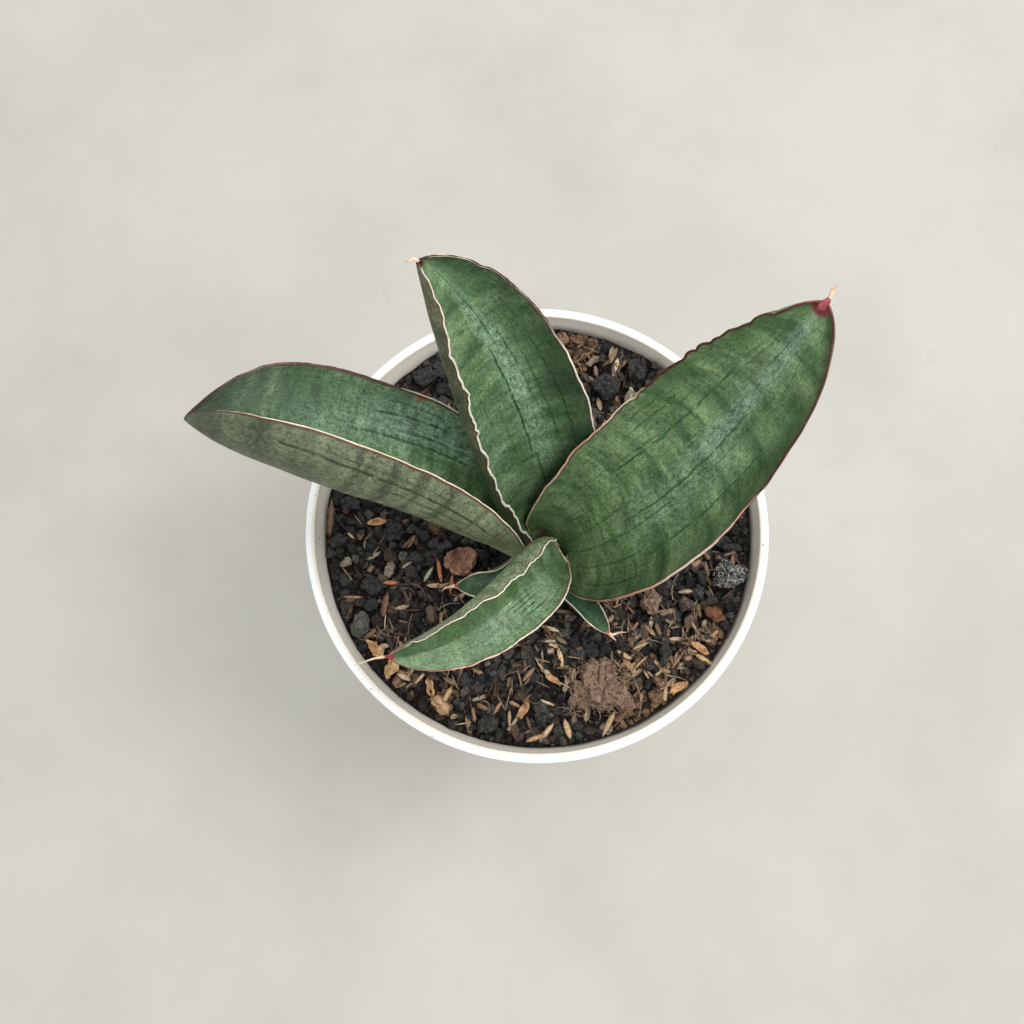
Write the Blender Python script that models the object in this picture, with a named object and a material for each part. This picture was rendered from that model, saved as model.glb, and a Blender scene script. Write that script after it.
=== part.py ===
"""A small snake plant in a white nursery pot, filled with dark grit and strewn with husks, stones and bits of coir.

Metres, +Z up. The origin is on the pot's axis at the face it stands on. Every separate piece is one object.
"""

import math

import bmesh
import bpy
import numpy as np
from mathutils import Vector, noise
from mathutils.bvhtree import BVHTree

MM = 0.001

# The pot.
POT_HEIGHT = 122 * MM
RIM_RADIUS = 80 * MM
RIM_BEAD = 1.6 * MM
COLLAR_HEIGHT = 13 * MM
WALL = 1.9 * MM
TOP_WALL_RADIUS = 77.6 * MM
FOOT_RADIUS = 57 * MM
FOOT_LIFT = 3 * MM
FLOOR_TOP = 5.2 * MM
PAD_RADIUS = 10 * MM
DRAIN_HOLES = 6
DRAIN_RADIUS = 4.5 * MM
DRAIN_CIRCLE = 32 * MM
NOTCHES = 4
POT_SEGMENTS = 56

# The packed mix.
GAP = 0.35 * MM
SOIL_LEVEL = 110.8 * MM
SOIL_ROUGHNESS = 1.6 * MM
SOIL_RINGS = 13
SOIL_SEGMENTS = 46
WELL_CENTRE = (1 * MM, -9 * MM)
WELL_RADIUS = 15 * MM
WELL_SLOPE = 9 * MM
WELL_FLOOR = 105.6 * MM

# The rootstock.
CROWN_RADIUS = 10 * MM
CROWN_TOP = 107.6 * MM
CROWN_DEPTH = 26 * MM
ROOTS = 7
ROOT_RADIUS = 2.3 * MM
ROOT_LENGTH = 62 * MM

# Leaves. Each leaf is a trough swept along a keel. "turn" is the compass direction of the keel at the base and at
# the tip, with a bow between them; "rise" is its slope; "roll" tips the trough sideways. "fold" is the angle each
# side has turned through at the margin, at the base, the middle and the tip; "uneven" is how much more the right
# side folds than the left. The youngest leaf comes first; each later one wraps those before it.
BASE_HEIGHT = 110 * MM
LEAVES = {
    "leaf_front": {
        "base": (6.2 * MM, -8.6 * MM), "length": 96 * MM, "half_width": 16 * MM, "thick": 1.7 * MM,
        "turn": (213.5, 192.5, 25.5), "rise": (80, 1.5, 2.5), "roll": (-3, 49, 15.5),
        "fold": (150, 100, 52), "uneven": 0.3, "wider_right": -0.03, "bend": 0.95,
        "neck": 0.35, "widest": 0.41, "flare": 2.3, "point": (2.5, 0.68),
        "colour": (0.2, 0.33, 0.17),
    },
    "leaf_right": {
        "base": (9.1 * MM, -4.1 * MM), "length": 133.5 * MM, "half_width": 31 * MM, "thick": 2.6 * MM,
        "turn": (0, 66, 1), "rise": (55.5, 47.5, 0), "roll": (-35, 25.5, 22.5),
        "fold": (80, 62, 90), "uneven": -0.17, "wider_right": -0.03, "bend": 1.05,
        "neck": 0.54, "widest": 0.4, "flare": 0.6, "point": (3.2, 0.6),
        "colour": (0.12, 0.22, 0.1),
    },
    "leaf_back": {
        "base": (0.4 * MM, 0.2 * MM), "length": 135.5 * MM, "half_width": 27 * MM, "thick": 2.6 * MM,
        "turn": (108, 152.5, -3.5), "rise": (63.5, 71, -1.5), "roll": (-16, -5, 8),
        "fold": (125, 86, 75), "uneven": -0.3, "wider_right": 0.03, "bend": 1.3,
        "neck": 0.43, "widest": 0.2, "flare": 0.65, "point": (3, 0.69),
        "colour": (0.13, 0.23, 0.12),
    },
    "leaf_left": {
        "base": (-7.2 * MM, -1 * MM), "length": 137.5 * MM, "half_width": 31 * MM, "thick": 2.6 * MM,
        "turn": (170, 159.5, 13), "rise": (69, 23, 5), "roll": (21, -47, -8.5),
        "fold": (91, 93, 90), "uneven": -0.3, "wider_right": 0, "bend": 0.7,
        "neck": 0.42, "widest": 0.59, "flare": 0.9, "point": (3.7, 0.72),
        "colour": (0.15, 0.24, 0.14),
    },
    "small_leaf_right": {
        "base": (10.4 * MM, -20.5 * MM), "length": 25 * MM, "half_width": 6.7 * MM, "thick": 1.2 * MM,
        "turn": (288.5, 310, 14.5), "rise": (19, 23, 11), "roll": (25, -4.5, 27),
        "fold": (54, 80, 61), "uneven": -0.23, "wider_right": -0.15, "bend": 1.1,
        "neck": 0.97, "widest": 0.2, "flare": 1, "point": (1.6, 0.64),
        "colour": (0.12, 0.23, 0.12),
    },
    "small_leaf_left": {
        "base": (-5.9 * MM, -11.9 * MM), "length": 28 * MM, "half_width": 7.7 * MM, "thick": 1.2 * MM,
        "turn": (217, 182, 5.5), "rise": (29.5, 35.5, -6.5), "roll": (27.5, 1.5, 21),
        "fold": (62, 80, 5), "uneven": 0.09, "wider_right": 0.04, "bend": 0.7,
        "neck": 0.94, "widest": 0.32, "flare": 1.5, "point": (1.7, 0.99),
        "colour": (0.12, 0.22, 0.12),
    },
}
FOLD_LIMIT = 150
KEEL_ROUND = 0.15
TOUCHING = {"leaf_left": ("leaf_back",), "small_leaf_left": ("leaf_left",)}
LEAF_GRID = (19, 9)
SMALL_LEAF_GRID = (10, 7)
TIP_HALF_WIDTH = 0.5 * MM
CLEARANCE = 0.4 * MM

# Loose lumps on the soil: position, length x width x height, turn in degrees, knobbliness, fineness, colour name.
COIR = (0.26, 0.17, 0.11)
CHARCOAL = (0.045, 0.047, 0.05)
PALE = (0.50, 0.46, 0.38)
LUMPS = {
    "coir_lump": ((21.5, -55.3), (20, 17, 9), 20, 0.22, 3, COIR),
    "coir_crumb": ((39.5, -25.7), (7.5, 7, 5), 50, 0.2, 2, COIR),
    "speckled_stone": ((66.3, -17.2), (12, 9.7, 7.5), 10, 0.12, 2, (0.33, 0.33, 0.32)),
    "mottled_stone": ((-61.1, -33.7), (9.5, 6.8, 5.5), 80, 0.1, 2, (0.24, 0.24, 0.20)),
    "brown_stone": ((52.3, -26.7), (8, 5.6, 4.5), -15, 0.1, 2, (0.22, 0.17, 0.13)),
    "bark_flake": ((61.5, -30.5), (8.5, 4.5, 2), -25, 0.1, 2, (0.20, 0.12, 0.07)),
    "pale_pebble_west": ((-67, -12), (5, 3.7, 3), 15, 0.08, 2, PALE),
    "pale_pebble_middle": ((-51.6, -13.7), (6.2, 3.4, 2.6), 80, 0.08, 2, PALE),
    "pale_pebble_north": ((34.4, 49), (5.6, 5, 3.6), 40, 0.1, 2, (0.62, 0.55, 0.46)),
    "pale_chip_north": ((21.1, 63), (6.2, 3, 1.5), 25, 0.1, 2, (0.60, 0.46, 0.30)),
    "charcoal_north": ((25.7, 53), (11, 9, 6.5), 15, 0.14, 2, CHARCOAL),
    "charcoal_northeast": ((37, 58.5), (8, 7, 5), 70, 0.14, 2, CHARCOAL),
    "charcoal_northwest": ((-40, 57), (8, 7, 5.5), 30, 0.14, 2, CHARCOAL),
    "charcoal_west": ((-66.5, 9), (6.5, 6, 4.5), 10, 0.14, 2, CHARCOAL),
    "charcoal_inner_west": ((-50, -1), (6.5, 6.3, 4.5), 60, 0.14, 2, CHARCOAL),
    "charcoal_near_leaf": ((-41.5, 7), (6.4, 6, 4.5), 25, 0.14, 2, CHARCOAL),
    "charcoal_southwest": ((-58.6, -19.5), (6.3, 5.8, 4.3), 50, 0.14, 2, CHARCOAL),
    "charcoal_front": ((-17.2, -67.5), (6.5, 6, 4.5), 5, 0.14, 2, CHARCOAL),
    "charcoal_east": ((44, -44), (6.3, 5, 4), 35, 0.14, 2, CHARCOAL),
    "charcoal_far_east": ((66, -5.5), (6.3, 5.8, 4.2), 80, 0.14, 2, CHARCOAL),
}

# Thin dry pieces: position, length, width, turn in degrees, curl along and across, thickness, colour.
TAN = (0.47, 0.30, 0.16)
HUSK = (0.52, 0.33, 0.17)
SCRAPS = {
    "curled_leaf_scrap": ((-27, -11), 11.5, 9, 25, 1.2, 1.0, 0.6, (0.33, 0.19, 0.11)),
    "dry_stick_long": ((-34.2, -14.5), 8.5, 1.5, 100, 0.5, 0.6, 0.6, (0.42, 0.22, 0.11)),
    "dry_stick_short": ((-30, -19.5), 7, 1.4, 85, 0.4, 0.6, 0.6, (0.42, 0.22, 0.11)),
    "tan_scrap_upper": ((-56, -42), 8, 4.2, 140, 1.0, 0.9, 0.6, TAN),
    "tan_scrap_lower": ((-50, -47.5), 9, 3.8, 60, 0.8, 0.9, 0.6, TAN),
    "rice_husk_west": ((-56.8, 3), 7.2, 2.6, 5, 0.5, 1.1, 0.5, HUSK),
    "rice_husk_southwest": ((-36.8, -54.5), 8, 2.8, 105, 0.5, 1.1, 0.5, HUSK),
    "rice_husk_south": ((-5, -63), 7.6, 2.7, 60, 0.5, 1.1, 0.5, HUSK),
    "rice_husk_front": ((5, -52), 7.8, 2.6, 140, 0.5, 1.1, 0.5, HUSK),
    "rice_husk_southeast": ((48, -55), 8, 2.8, 30, 0.5, 1.1, 0.5, HUSK),
    "rice_husk_east": ((56, -42), 7.6, 2.6, 150, 0.5, 1.1, 0.5, HUSK),
}
SCRAP_ROWS = 6
SCRAP_COLUMNS = 4

PLASTIC = (0.86, 0.86, 0.84)
GRIT = (0.055, 0.052, 0.05)
ROOT_COLOUR = (0.55, 0.40, 0.22)


def clear_scene():
    for piece in list(bpy.data.objects):
        bpy.data.objects.remove(piece, do_unlink=True)


def material(name, colour, roughness=0.6):
    made = bpy.data.materials.new(name)
    made.use_nodes = True
    shader = made.node_tree.nodes["Principled BSDF"]
    shader.inputs["Base Color"].default_value = (*colour, 1)
    shader.inputs["Roughness"].default_value = roughness
    shader.inputs["Metallic"].default_value = 0
    made.diffuse_color = (*colour, 1)
    return made


def new_object(name, mesh_data, finish):
    mesh = bpy.data.meshes.new(name)
    mesh_data.normal_update()
    bmesh.ops.recalc_face_normals(mesh_data, faces=mesh_data.faces)
    mesh_data.to_mesh(mesh)
    mesh_data.free()
    made = bpy.data.objects.new(name, mesh)
    bpy.context.scene.collection.objects.link(made)
    mesh.materials.append(finish)
    mesh.shade_smooth()
    mesh.set_sharp_from_angle(angle=math.radians(38))
    return made


def cut(target, tools, operation="DIFFERENCE"):
    """Applies a Boolean of each tool to the target and deletes the tools."""
    for tool in tools:
        step = target.modifiers.new("cut", "BOOLEAN")
        step.operation = operation
        step.solver = "EXACT"
        step.object = tool
        graph = bpy.context.evaluated_depsgraph_get()
        result = bpy.data.meshes.new_from_object(target.evaluated_get(graph))
        target.modifiers.clear()
        old = target.data
        target.data = result
        bpy.data.meshes.remove(old)
        bpy.data.objects.remove(tool, do_unlink=True)
    return target


def keep_largest(target):
    """Removes everything but the piece of the mesh that has the most faces."""
    work = bmesh.new()
    work.from_mesh(target.data)
    bmesh.ops.remove_doubles(work, verts=work.verts, dist=1e-6)
    bmesh.ops.dissolve_degenerate(work, edges=work.edges, dist=2e-6)
    left = set(work.verts)
    best = []
    while left:
        start = left.pop()
        group = [start]
        queue = [start]
        while queue:
            for edge in queue.pop().link_edges:
                for vert in edge.verts:
                    if vert in left:
                        left.discard(vert)
                        group.append(vert)
                        queue.append(vert)
        if len(group) > len(best):
            best = group
    kept = set(best)
    bmesh.ops.delete(work, geom=[v for v in work.verts if v not in kept], context="VERTS")
    bmesh.ops.triangulate(work, faces=work.faces)
    bmesh.ops.recalc_face_normals(work, faces=work.faces)
    work.to_mesh(target.data)
    work.free()


def revolve(name, profile, segments, finish):
    """One closed solid of revolution from a profile of (radius, height); radius 0 is a pole."""
    work = bmesh.new()
    rings = []
    for radius, height in profile:
        if radius <= 0:
            rings.append([work.verts.new((0, 0, height))])
            continue
        ring = []
        for k in range(segments):
            angle = 2 * math.pi * k / segments
            ring.append(work.verts.new((radius * math.cos(angle), radius * math.sin(angle), height)))
        rings.append(ring)
    for low, high in zip(rings, rings[1:] + rings[:1]):
        if len(low) == 1 and len(high) == 1:
            continue
        for k in range(segments):
            after = (k + 1) % segments
            if len(low) == 1:
                work.faces.new((low[0], high[k], high[after]))
            elif len(high) == 1:
                work.faces.new((low[k], high[0], low[after]))
            else:
                work.faces.new((low[k], high[k], high[after], low[after]))
    return new_object(name, work, finish)


def inner_wall(height):
    """Radius of the pot's inner face at a height."""
    share = (height - FLOOR_TOP) / (POT_HEIGHT - FLOOR_TOP)
    low = FOOT_RADIUS - WALL
    return low + (TOP_WALL_RADIUS - 0.4 * MM - low) * share


def pot():
    bead = POT_HEIGHT - RIM_BEAD
    middle = RIM_RADIUS - RIM_BEAD
    collar_foot = POT_HEIGHT - COLLAR_HEIGHT
    profile = [(0, 0), (PAD_RADIUS, 0), (PAD_RADIUS + 1.5 * MM, FOOT_LIFT)]
    profile += [(FOOT_RADIUS - 6 * MM, FOOT_LIFT), (FOOT_RADIUS - 5 * MM, 0), (FOOT_RADIUS - 1 * MM, 0)]
    profile += [(FOOT_RADIUS, 1.2 * MM), (inner_wall(collar_foot) + WALL, collar_foot - 1.5 * MM)]
    profile += [(RIM_RADIUS - 1.9 * MM, collar_foot), (RIM_RADIUS - 1.1 * MM, collar_foot + 1 * MM)]
    profile.append((RIM_RADIUS - 0.3 * MM, bead - 4 * MM))
    for step in range(6):
        angle = math.pi * step / 5
        profile.append((middle + RIM_BEAD * math.cos(angle), bead + RIM_BEAD * math.sin(angle)))
    profile.append((inner_wall(bead - 3 * MM), bead - 3 * MM))
    profile.append((inner_wall(bead - 40 * MM), bead - 40 * MM))
    profile += [(inner_wall(FLOOR_TOP + 4 * MM), FLOOR_TOP + 4 * MM)]
    profile += [(FOOT_RADIUS - WALL - 3 * MM, FLOOR_TOP), (0, FLOOR_TOP)]
    made = revolve("pot", profile, POT_SEGMENTS, material("pot", PLASTIC, 0.35))
    tools = []
    for k in range(DRAIN_HOLES):
        angle = 2 * math.pi * (k + 0.53) / DRAIN_HOLES
        tool = revolve("drill", [(0, -5 * MM), (DRAIN_RADIUS, -5 * MM), (DRAIN_RADIUS, 9 * MM), (0, 9 * MM)], 16,
                       made.data.materials[0])
        tool.location = (DRAIN_CIRCLE * math.cos(angle), DRAIN_CIRCLE * math.sin(angle), 0)
        tools.append(tool)
    for k in range(NOTCHES):
        angle = 2 * math.pi * (k + 0.52) / NOTCHES
        work = bmesh.new()
        bmesh.ops.create_cube(work, size=1)
        bmesh.ops.scale(work, verts=work.verts, vec=(14 * MM, 8 * MM, 5 * MM))
        tool = new_object("notch", work, made.data.materials[0])
        reach = FOOT_RADIUS - 3 * MM
        tool.location = (reach * math.cos(angle), reach * math.sin(angle), 0)
        tool.rotation_euler = (0, 0, angle)
        tools.append(tool)
    bpy.context.view_layer.update()
    cut(made, tools)
    keep_largest(made)
    return made


def half_width(leaf, u):
    """Half the leaf's width, measured over its surface, at u from base (0) to tip (1)."""
    if u < leaf["widest"]:
        swell = math.sin(0.5 * math.pi * u / leaf["widest"]) ** leaf["flare"]
        share = leaf["neck"] + (1 - leaf["neck"]) * swell
    else:
        along = (u - leaf["widest"]) / (1 - leaf["widest"])
        share = max(1 - along ** leaf["point"][0], 0) ** leaf["point"][1]
    return max(leaf["half_width"] * share, TIP_HALF_WIDTH)


def smooth_step(t):
    t = min(max(t, 0), 1)
    return t * t * (3 - 2 * t)


def fold(leaf, u):
    base, middle, tip = leaf["fold"]
    if u < 0.45:
        return middle + (base - middle) * (1 - smooth_step(u / 0.45))
    return middle + (tip - middle) * smooth_step((u - 0.45) / 0.55)


def along(values, u):
    """A quantity that runs from values[0] to values[1] with a bow of values[2] half way."""
    return values[0] + (values[1] - values[0]) * u + values[2] * 4 * u * (1 - u)


def folded(leaf, share):
    """How much of the fold is done at a share of the way from keel to margin; rounded off at the keel."""
    power = leaf["bend"]
    start = KEEL_ROUND ** power
    return ((share ** 2 + KEEL_ROUND ** 2) ** (power / 2) - start) / ((1 + KEEL_ROUND ** 2) ** (power / 2) - start)


def leaf_frame(leaf, u):
    """Direction of the keel at u, and the leaf's right and up directions there."""
    turn = math.radians(along(leaf["turn"], u))
    rise = math.radians(along(leaf["rise"], u))
    roll = math.radians(along(leaf["roll"], u))
    forward = np.array((math.cos(rise) * math.cos(turn), math.cos(rise) * math.sin(turn), math.sin(rise)))
    level = np.array((math.sin(turn), -math.cos(turn), 0.0))
    top = np.cross(level, forward)
    right = level * math.cos(roll) + top * math.sin(roll)
    up = top * math.cos(roll) - level * math.sin(roll)
    return forward, right, up


def leaf_sheet(leaf, rows, columns, widen=0.0):
    """The leaf's middle surface and its thickness, as a grid of rows (base to tip) by columns (left to right)."""
    fine = 240
    step = leaf["length"] / fine
    keel = [np.array((leaf["base"][0], leaf["base"][1], BASE_HEIGHT))]
    for k in range(fine):
        keel.append(keel[-1] + leaf_frame(leaf, (k + 0.5) / fine)[0] * step)
    points = np.zeros((rows, columns, 3))
    thickness = np.zeros((rows, columns))
    for i in range(rows):
        u = 1 - (1 - i / (rows - 1)) ** 1.35
        place = u * fine
        low = min(int(place), fine - 1)
        centre = keel[low] * (1 - place + low) + keel[low + 1] * (place - low)
        _, right, up = leaf_frame(leaf, u)
        plump = leaf["thick"] * (1 - 0.4 * u) * (0.8 + 0.2 * smooth_step(u / 0.3))
        for j in range(columns):
            v = -1 + 2 * j / (columns - 1)
            side = 1 if v >= 0 else -1
            width = half_width(leaf, u) * (1 + side * leaf["wider_right"]) + widen
            most = math.radians(min(fold(leaf, u) * (1 + side * leaf["uneven"]), FOLD_LIMIT))
            across = rise = 0.0
            pieces = 24
            for k in range(pieces):
                share = abs(v) * (k + 0.5) / pieces
                angle = most * folded(leaf, share)
                across += math.cos(angle) * abs(v) * width / pieces
                rise += math.sin(angle) * abs(v) * width / pieces
            points[i, j] = centre + side * across * right + rise * up
            thickness[i, j] = plump * (1 - 0.65 * abs(v) ** 2.5)
    return points, thickness


def grid_normals(points):
    down = np.gradient(points, axis=0)
    over = np.gradient(points, axis=1)
    normals = np.cross(over, down)
    return normals / np.maximum(np.linalg.norm(normals, axis=-1, keepdims=True), 1e-12)


def sheet_solid(name, points, thickness, finish):
    """A closed solid around a middle surface."""
    rows, columns = thickness.shape
    normals = grid_normals(points)
    half = thickness[..., None] / 2
    work = bmesh.new()
    faces = []
    for grid in (points + normals * half, points - normals * half):
        faces.append([[work.verts.new(grid[i, j]) for j in range(columns)] for i in range(rows)])
    upper, lower = faces
    for i in range(rows - 1):
        for j in range(columns - 1):
            work.faces.new((upper[i][j], upper[i][j + 1], upper[i + 1][j + 1], upper[i + 1][j]))
            work.faces.new((lower[i][j], lower[i + 1][j], lower[i + 1][j + 1], lower[i][j + 1]))
    for i in range(rows - 1):
        for j in (0, columns - 1):
            work.faces.new((upper[i][j], upper[i + 1][j], lower[i + 1][j], lower[i][j]))
    for j in range(columns - 1):
        for i in (0, rows - 1):
            work.faces.new((upper[i][j], upper[i][j + 1], lower[i][j + 1], lower[i][j]))
    return new_object(name, work, finish)


def make_leaves():
    """Every leaf, each one cut back where it would touch a younger leaf that it wraps."""
    made = {}
    for name, leaf in LEAVES.items():
        finish = material(name, leaf["colour"], 0.5)
        grid = SMALL_LEAF_GRID if name.startswith("small") else LEAF_GRID
        points, thickness = leaf_sheet(leaf, *grid)
        made[name] = sheet_solid(name, points, thickness, finish)
        for inner in TOUCHING.get(name, ()):
            points, thickness = leaf_sheet(LEAVES[inner], *LEAF_GRID, CLEARANCE)
            cut(made[name], [sheet_solid("spare", points, thickness + 2 * CLEARANCE, finish)])
            keep_largest(made[name])
    return made


def bumpy(x, y, seed):
    return noise.noise(Vector((x, y, seed)) / (7 * MM)) + 0.5 * noise.noise(Vector((x, y, seed + 1)) / (3.2 * MM))


def soil_height(x, y):
    """The soil's free surface: uneven, with a well around the crown."""
    level = SOIL_LEVEL + SOIL_ROUGHNESS * bumpy(x, y, 3)
    away = math.hypot(x - WELL_CENTRE[0], y - WELL_CENTRE[1])
    share = smooth_step((away - WELL_RADIUS) / WELL_SLOPE)
    return WELL_FLOOR + (level - WELL_FLOOR) * share


def make_mix(leaves):
    """The packed mix, kept clear of the pot's wall and of every leaf."""
    below = np.array([list(v.co) for leaf in leaves.values() for v in leaf.data.vertices])
    work = bmesh.new()
    top = inner_wall(SOIL_LEVEL) - GAP - 0.2 * MM
    rings = [[work.verts.new((0, 0, 0))]]
    for i in range(1, SOIL_RINGS + 1):
        radius = top * i / SOIL_RINGS
        ring = []
        for k in range(SOIL_SEGMENTS):
            angle = 2 * math.pi * (k + 0.5 * (i % 2)) / SOIL_SEGMENTS
            ring.append(work.verts.new((radius * math.cos(angle), radius * math.sin(angle), 0)))
        rings.append(ring)
    for ring in rings:
        for vert in ring:
            x, y = vert.co.x, vert.co.y
            height = soil_height(x, y)
            near = below[np.hypot(below[:, 0] - x, below[:, 1] - y) < 7 * MM]
            if len(near):
                height = min(height, near[:, 2].min() - 0.9 * MM)
            vert.co.z = height
    lower = []
    for height in (60 * MM, FLOOR_TOP + 4.5 * MM):
        radius = inner_wall(height) - GAP
        ring = []
        for k in range(SOIL_SEGMENTS):
            angle = 2 * math.pi * (k + 0.5 * (SOIL_RINGS % 2)) / SOIL_SEGMENTS
            ring.append(work.verts.new((radius * math.cos(angle), radius * math.sin(angle), height)))
        lower.append(ring)
    radius = FOOT_RADIUS - WALL - 3.4 * MM
    ring = []
    for k in range(SOIL_SEGMENTS):
        angle = 2 * math.pi * (k + 0.5 * (SOIL_RINGS % 2)) / SOIL_SEGMENTS
        ring.append(work.verts.new((radius * math.cos(angle), radius * math.sin(angle), FLOOR_TOP + GAP)))
    lower.append(ring)
    count = SOIL_SEGMENTS
    for i, (inside, outside) in enumerate(zip(rings, rings[1:])):
        for k in range(count):
            after = (k + 1) % count
            if len(inside) == 1:
                work.faces.new((inside[0], outside[k], outside[after]))
            elif i % 2:
                work.faces.new((inside[k], outside[k], outside[after]))
                work.faces.new((inside[k], outside[after], inside[after]))
            else:
                work.faces.new((inside[k], outside[k], inside[after]))
                work.faces.new((inside[after], outside[k], outside[after]))
    for high, low in zip([rings[-1]] + lower, lower):
        for k in range(count):
            after = (k + 1) % count
            work.faces.new((high[k], low[k], low[after], high[after]))
    work.faces.new(lower[-1])
    return new_object("potting_mix", work, material("potting_mix", GRIT, 0.95))


def ball(radius, fineness, knobbly, seed, scale):
    work = bmesh.new()
    bmesh.ops.create_icosphere(work, subdivisions=fineness, radius=1)
    for vert in work.verts:
        bump = noise.noise(vert.co * 1.6 + Vector((seed * 3.7, seed * 1.3, seed)))
        bump += 0.5 * noise.noise(vert.co * 3.6 + Vector((seed, seed * 2.1, seed * 5.3)))
        length = 1 + knobbly * bump
        vert.co = Vector((vert.co.x * scale[0], vert.co.y * scale[1], vert.co.z * scale[2])) * length * radius
    return work


def tube(points, radii, sides=6):
    """A closed tapered tube through points."""
    work = bmesh.new()
    rings = []
    for k, (point, radius) in enumerate(zip(points, radii)):
        ahead = points[min(k + 1, len(points) - 1)] - points[max(k - 1, 0)]
        turn = ahead.to_track_quat("Z", "Y")
        ring = []
        for side in range(sides):
            angle = 2 * math.pi * side / sides
            ring.append(work.verts.new(point + turn @ Vector((radius * math.cos(angle), radius * math.sin(angle), 0))))
        rings.append(ring)
    for low, high in zip(rings, rings[1:]):
        for k in range(sides):
            after = (k + 1) % sides
            work.faces.new((low[k], low[after], high[after], high[k]))
    work.faces.new(rings[0][::-1])
    work.faces.new(rings[-1])
    return work


def make_rootstock(name, grow):
    """The short thick stem and its roots, grown as one piece; grow swells it."""
    finish = material(name, ROOT_COLOUR, 0.8)
    height = CROWN_DEPTH / 2 + grow
    stem = ball(1, 2, 0.1, 2, (CROWN_RADIUS + grow, CROWN_RADIUS + grow, height))
    made = new_object(name, stem, finish)
    made.location = (*WELL_CENTRE, CROWN_TOP - CROWN_DEPTH / 2)
    tools = []
    for k in range(ROOTS):
        angle = 2 * math.pi * k / ROOTS + 0.35 * math.sin(5 * k)
        points = []
        radii = []
        for step in range(6):
            share = step / 5
            out = 0.4 * CROWN_RADIUS + 0.62 * ROOT_LENGTH * share
            swing = angle + 0.35 * math.sin(3.1 * share + k)
            drop = 0.8 * ROOT_LENGTH * share ** 1.35
            points.append(Vector((WELL_CENTRE[0] + out * math.cos(swing), WELL_CENTRE[1] + out * math.sin(swing),
                                  CROWN_TOP - 0.66 * CROWN_DEPTH - drop)))
            radii.append(ROOT_RADIUS * (1 - 0.6 * share) + grow)
        tip = points[-1] + (points[-1] - points[-2]).normalized() * (grow + 0.5 * MM)
        points.append(tip)
        radii.append(radii[-1] * 0.5 + 0.5 * grow)
        tools.append(new_object("root", tube(points, radii), finish))
    bpy.context.view_layer.update()
    cut(made, tools, "UNION")
    made.data.transform(made.matrix_world)
    made.location = (0, 0, 0)
    bpy.context.view_layer.update()
    keep_largest(made)
    return made


def settle(made, ground, gap=GAP):
    """Lowers a piece until its lowest point over the ground is one gap above it."""
    bpy.context.view_layer.update()
    least = 1.0
    down = Vector((0, 0, -1))
    for vert in made.data.vertices:
        hit = ground.ray_cast(vert.co + Vector((0, 0, 0.2)), down)
        if hit[0] is not None:
            least = min(least, vert.co.z - hit[0].z)
    for vert in made.data.vertices:
        vert.co.z -= least - gap


def make_lumps(ground):
    for number, (name, facts) in enumerate(LUMPS.items()):
        (x, y), size, turn, knobbly, fineness, colour = facts
        work = ball(0.5 * MM, fineness, knobbly, number + 1, size)
        swing = math.radians(turn)
        for vert in work.verts:
            side, ahead = vert.co.x, vert.co.y
            vert.co.x = side * math.cos(swing) - ahead * math.sin(swing) + x * MM
            vert.co.y = side * math.sin(swing) + ahead * math.cos(swing) + y * MM
            vert.co.z += SOIL_LEVEL + 10 * MM
        settle(new_object(name, work, material(name, colour, 0.85)), ground)


def make_scraps(ground):
    for name, facts in SCRAPS.items():
        (x, y), length, width, turn, curl, cup, thick, colour = facts
        swing = math.radians(turn)
        points = np.zeros((SCRAP_ROWS, SCRAP_COLUMNS, 3))
        for i in range(SCRAP_ROWS):
            s = -0.5 + i / (SCRAP_ROWS - 1)
            half = 0.5 * width * (0.25 + 0.75 * math.cos(math.pi * s) ** 0.8)
            for j in range(SCRAP_COLUMNS):
                t = -1 + 2 * j / (SCRAP_COLUMNS - 1)
                side = s * length
                ahead = t * half
                rise = curl * 2 * s * s + cup * t * t * half / 2
                points[i, j] = (
                    (side * math.cos(swing) - ahead * math.sin(swing) + x) * MM,
                    (side * math.sin(swing) + ahead * math.cos(swing) + y) * MM,
                    SOIL_LEVEL + (10 + rise) * MM,
                )
        thickness = np.full((SCRAP_ROWS, SCRAP_COLUMNS), thick * MM)
        settle(sheet_solid(name, points, thickness, material(name, colour, 0.8)), ground)


def ground_of(mix):
    work = bmesh.new()
    work.from_mesh(mix.data)
    tree = BVHTree.FromBMesh(work)
    work.free()
    return tree


clear_scene()
pot()
leaves = make_leaves()
mix = make_mix(leaves)
make_rootstock("rootstock", 0)
hollow = make_rootstock("hollow", 0.5 * MM)
cut(mix, [hollow])
keep_largest(mix)
ground = ground_of(mix)
make_lumps(ground)
make_scraps(ground)
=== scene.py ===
"""The looks of a small snake plant in a white nursery pot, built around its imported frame.

Metres, +Z up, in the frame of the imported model: the pot stands at the origin and its axis is Z.
"""

import math

import bmesh
import bpy
import numpy as np
from mathutils import Matrix, Vector, noise
from mathutils.bvhtree import BVHTree


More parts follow.
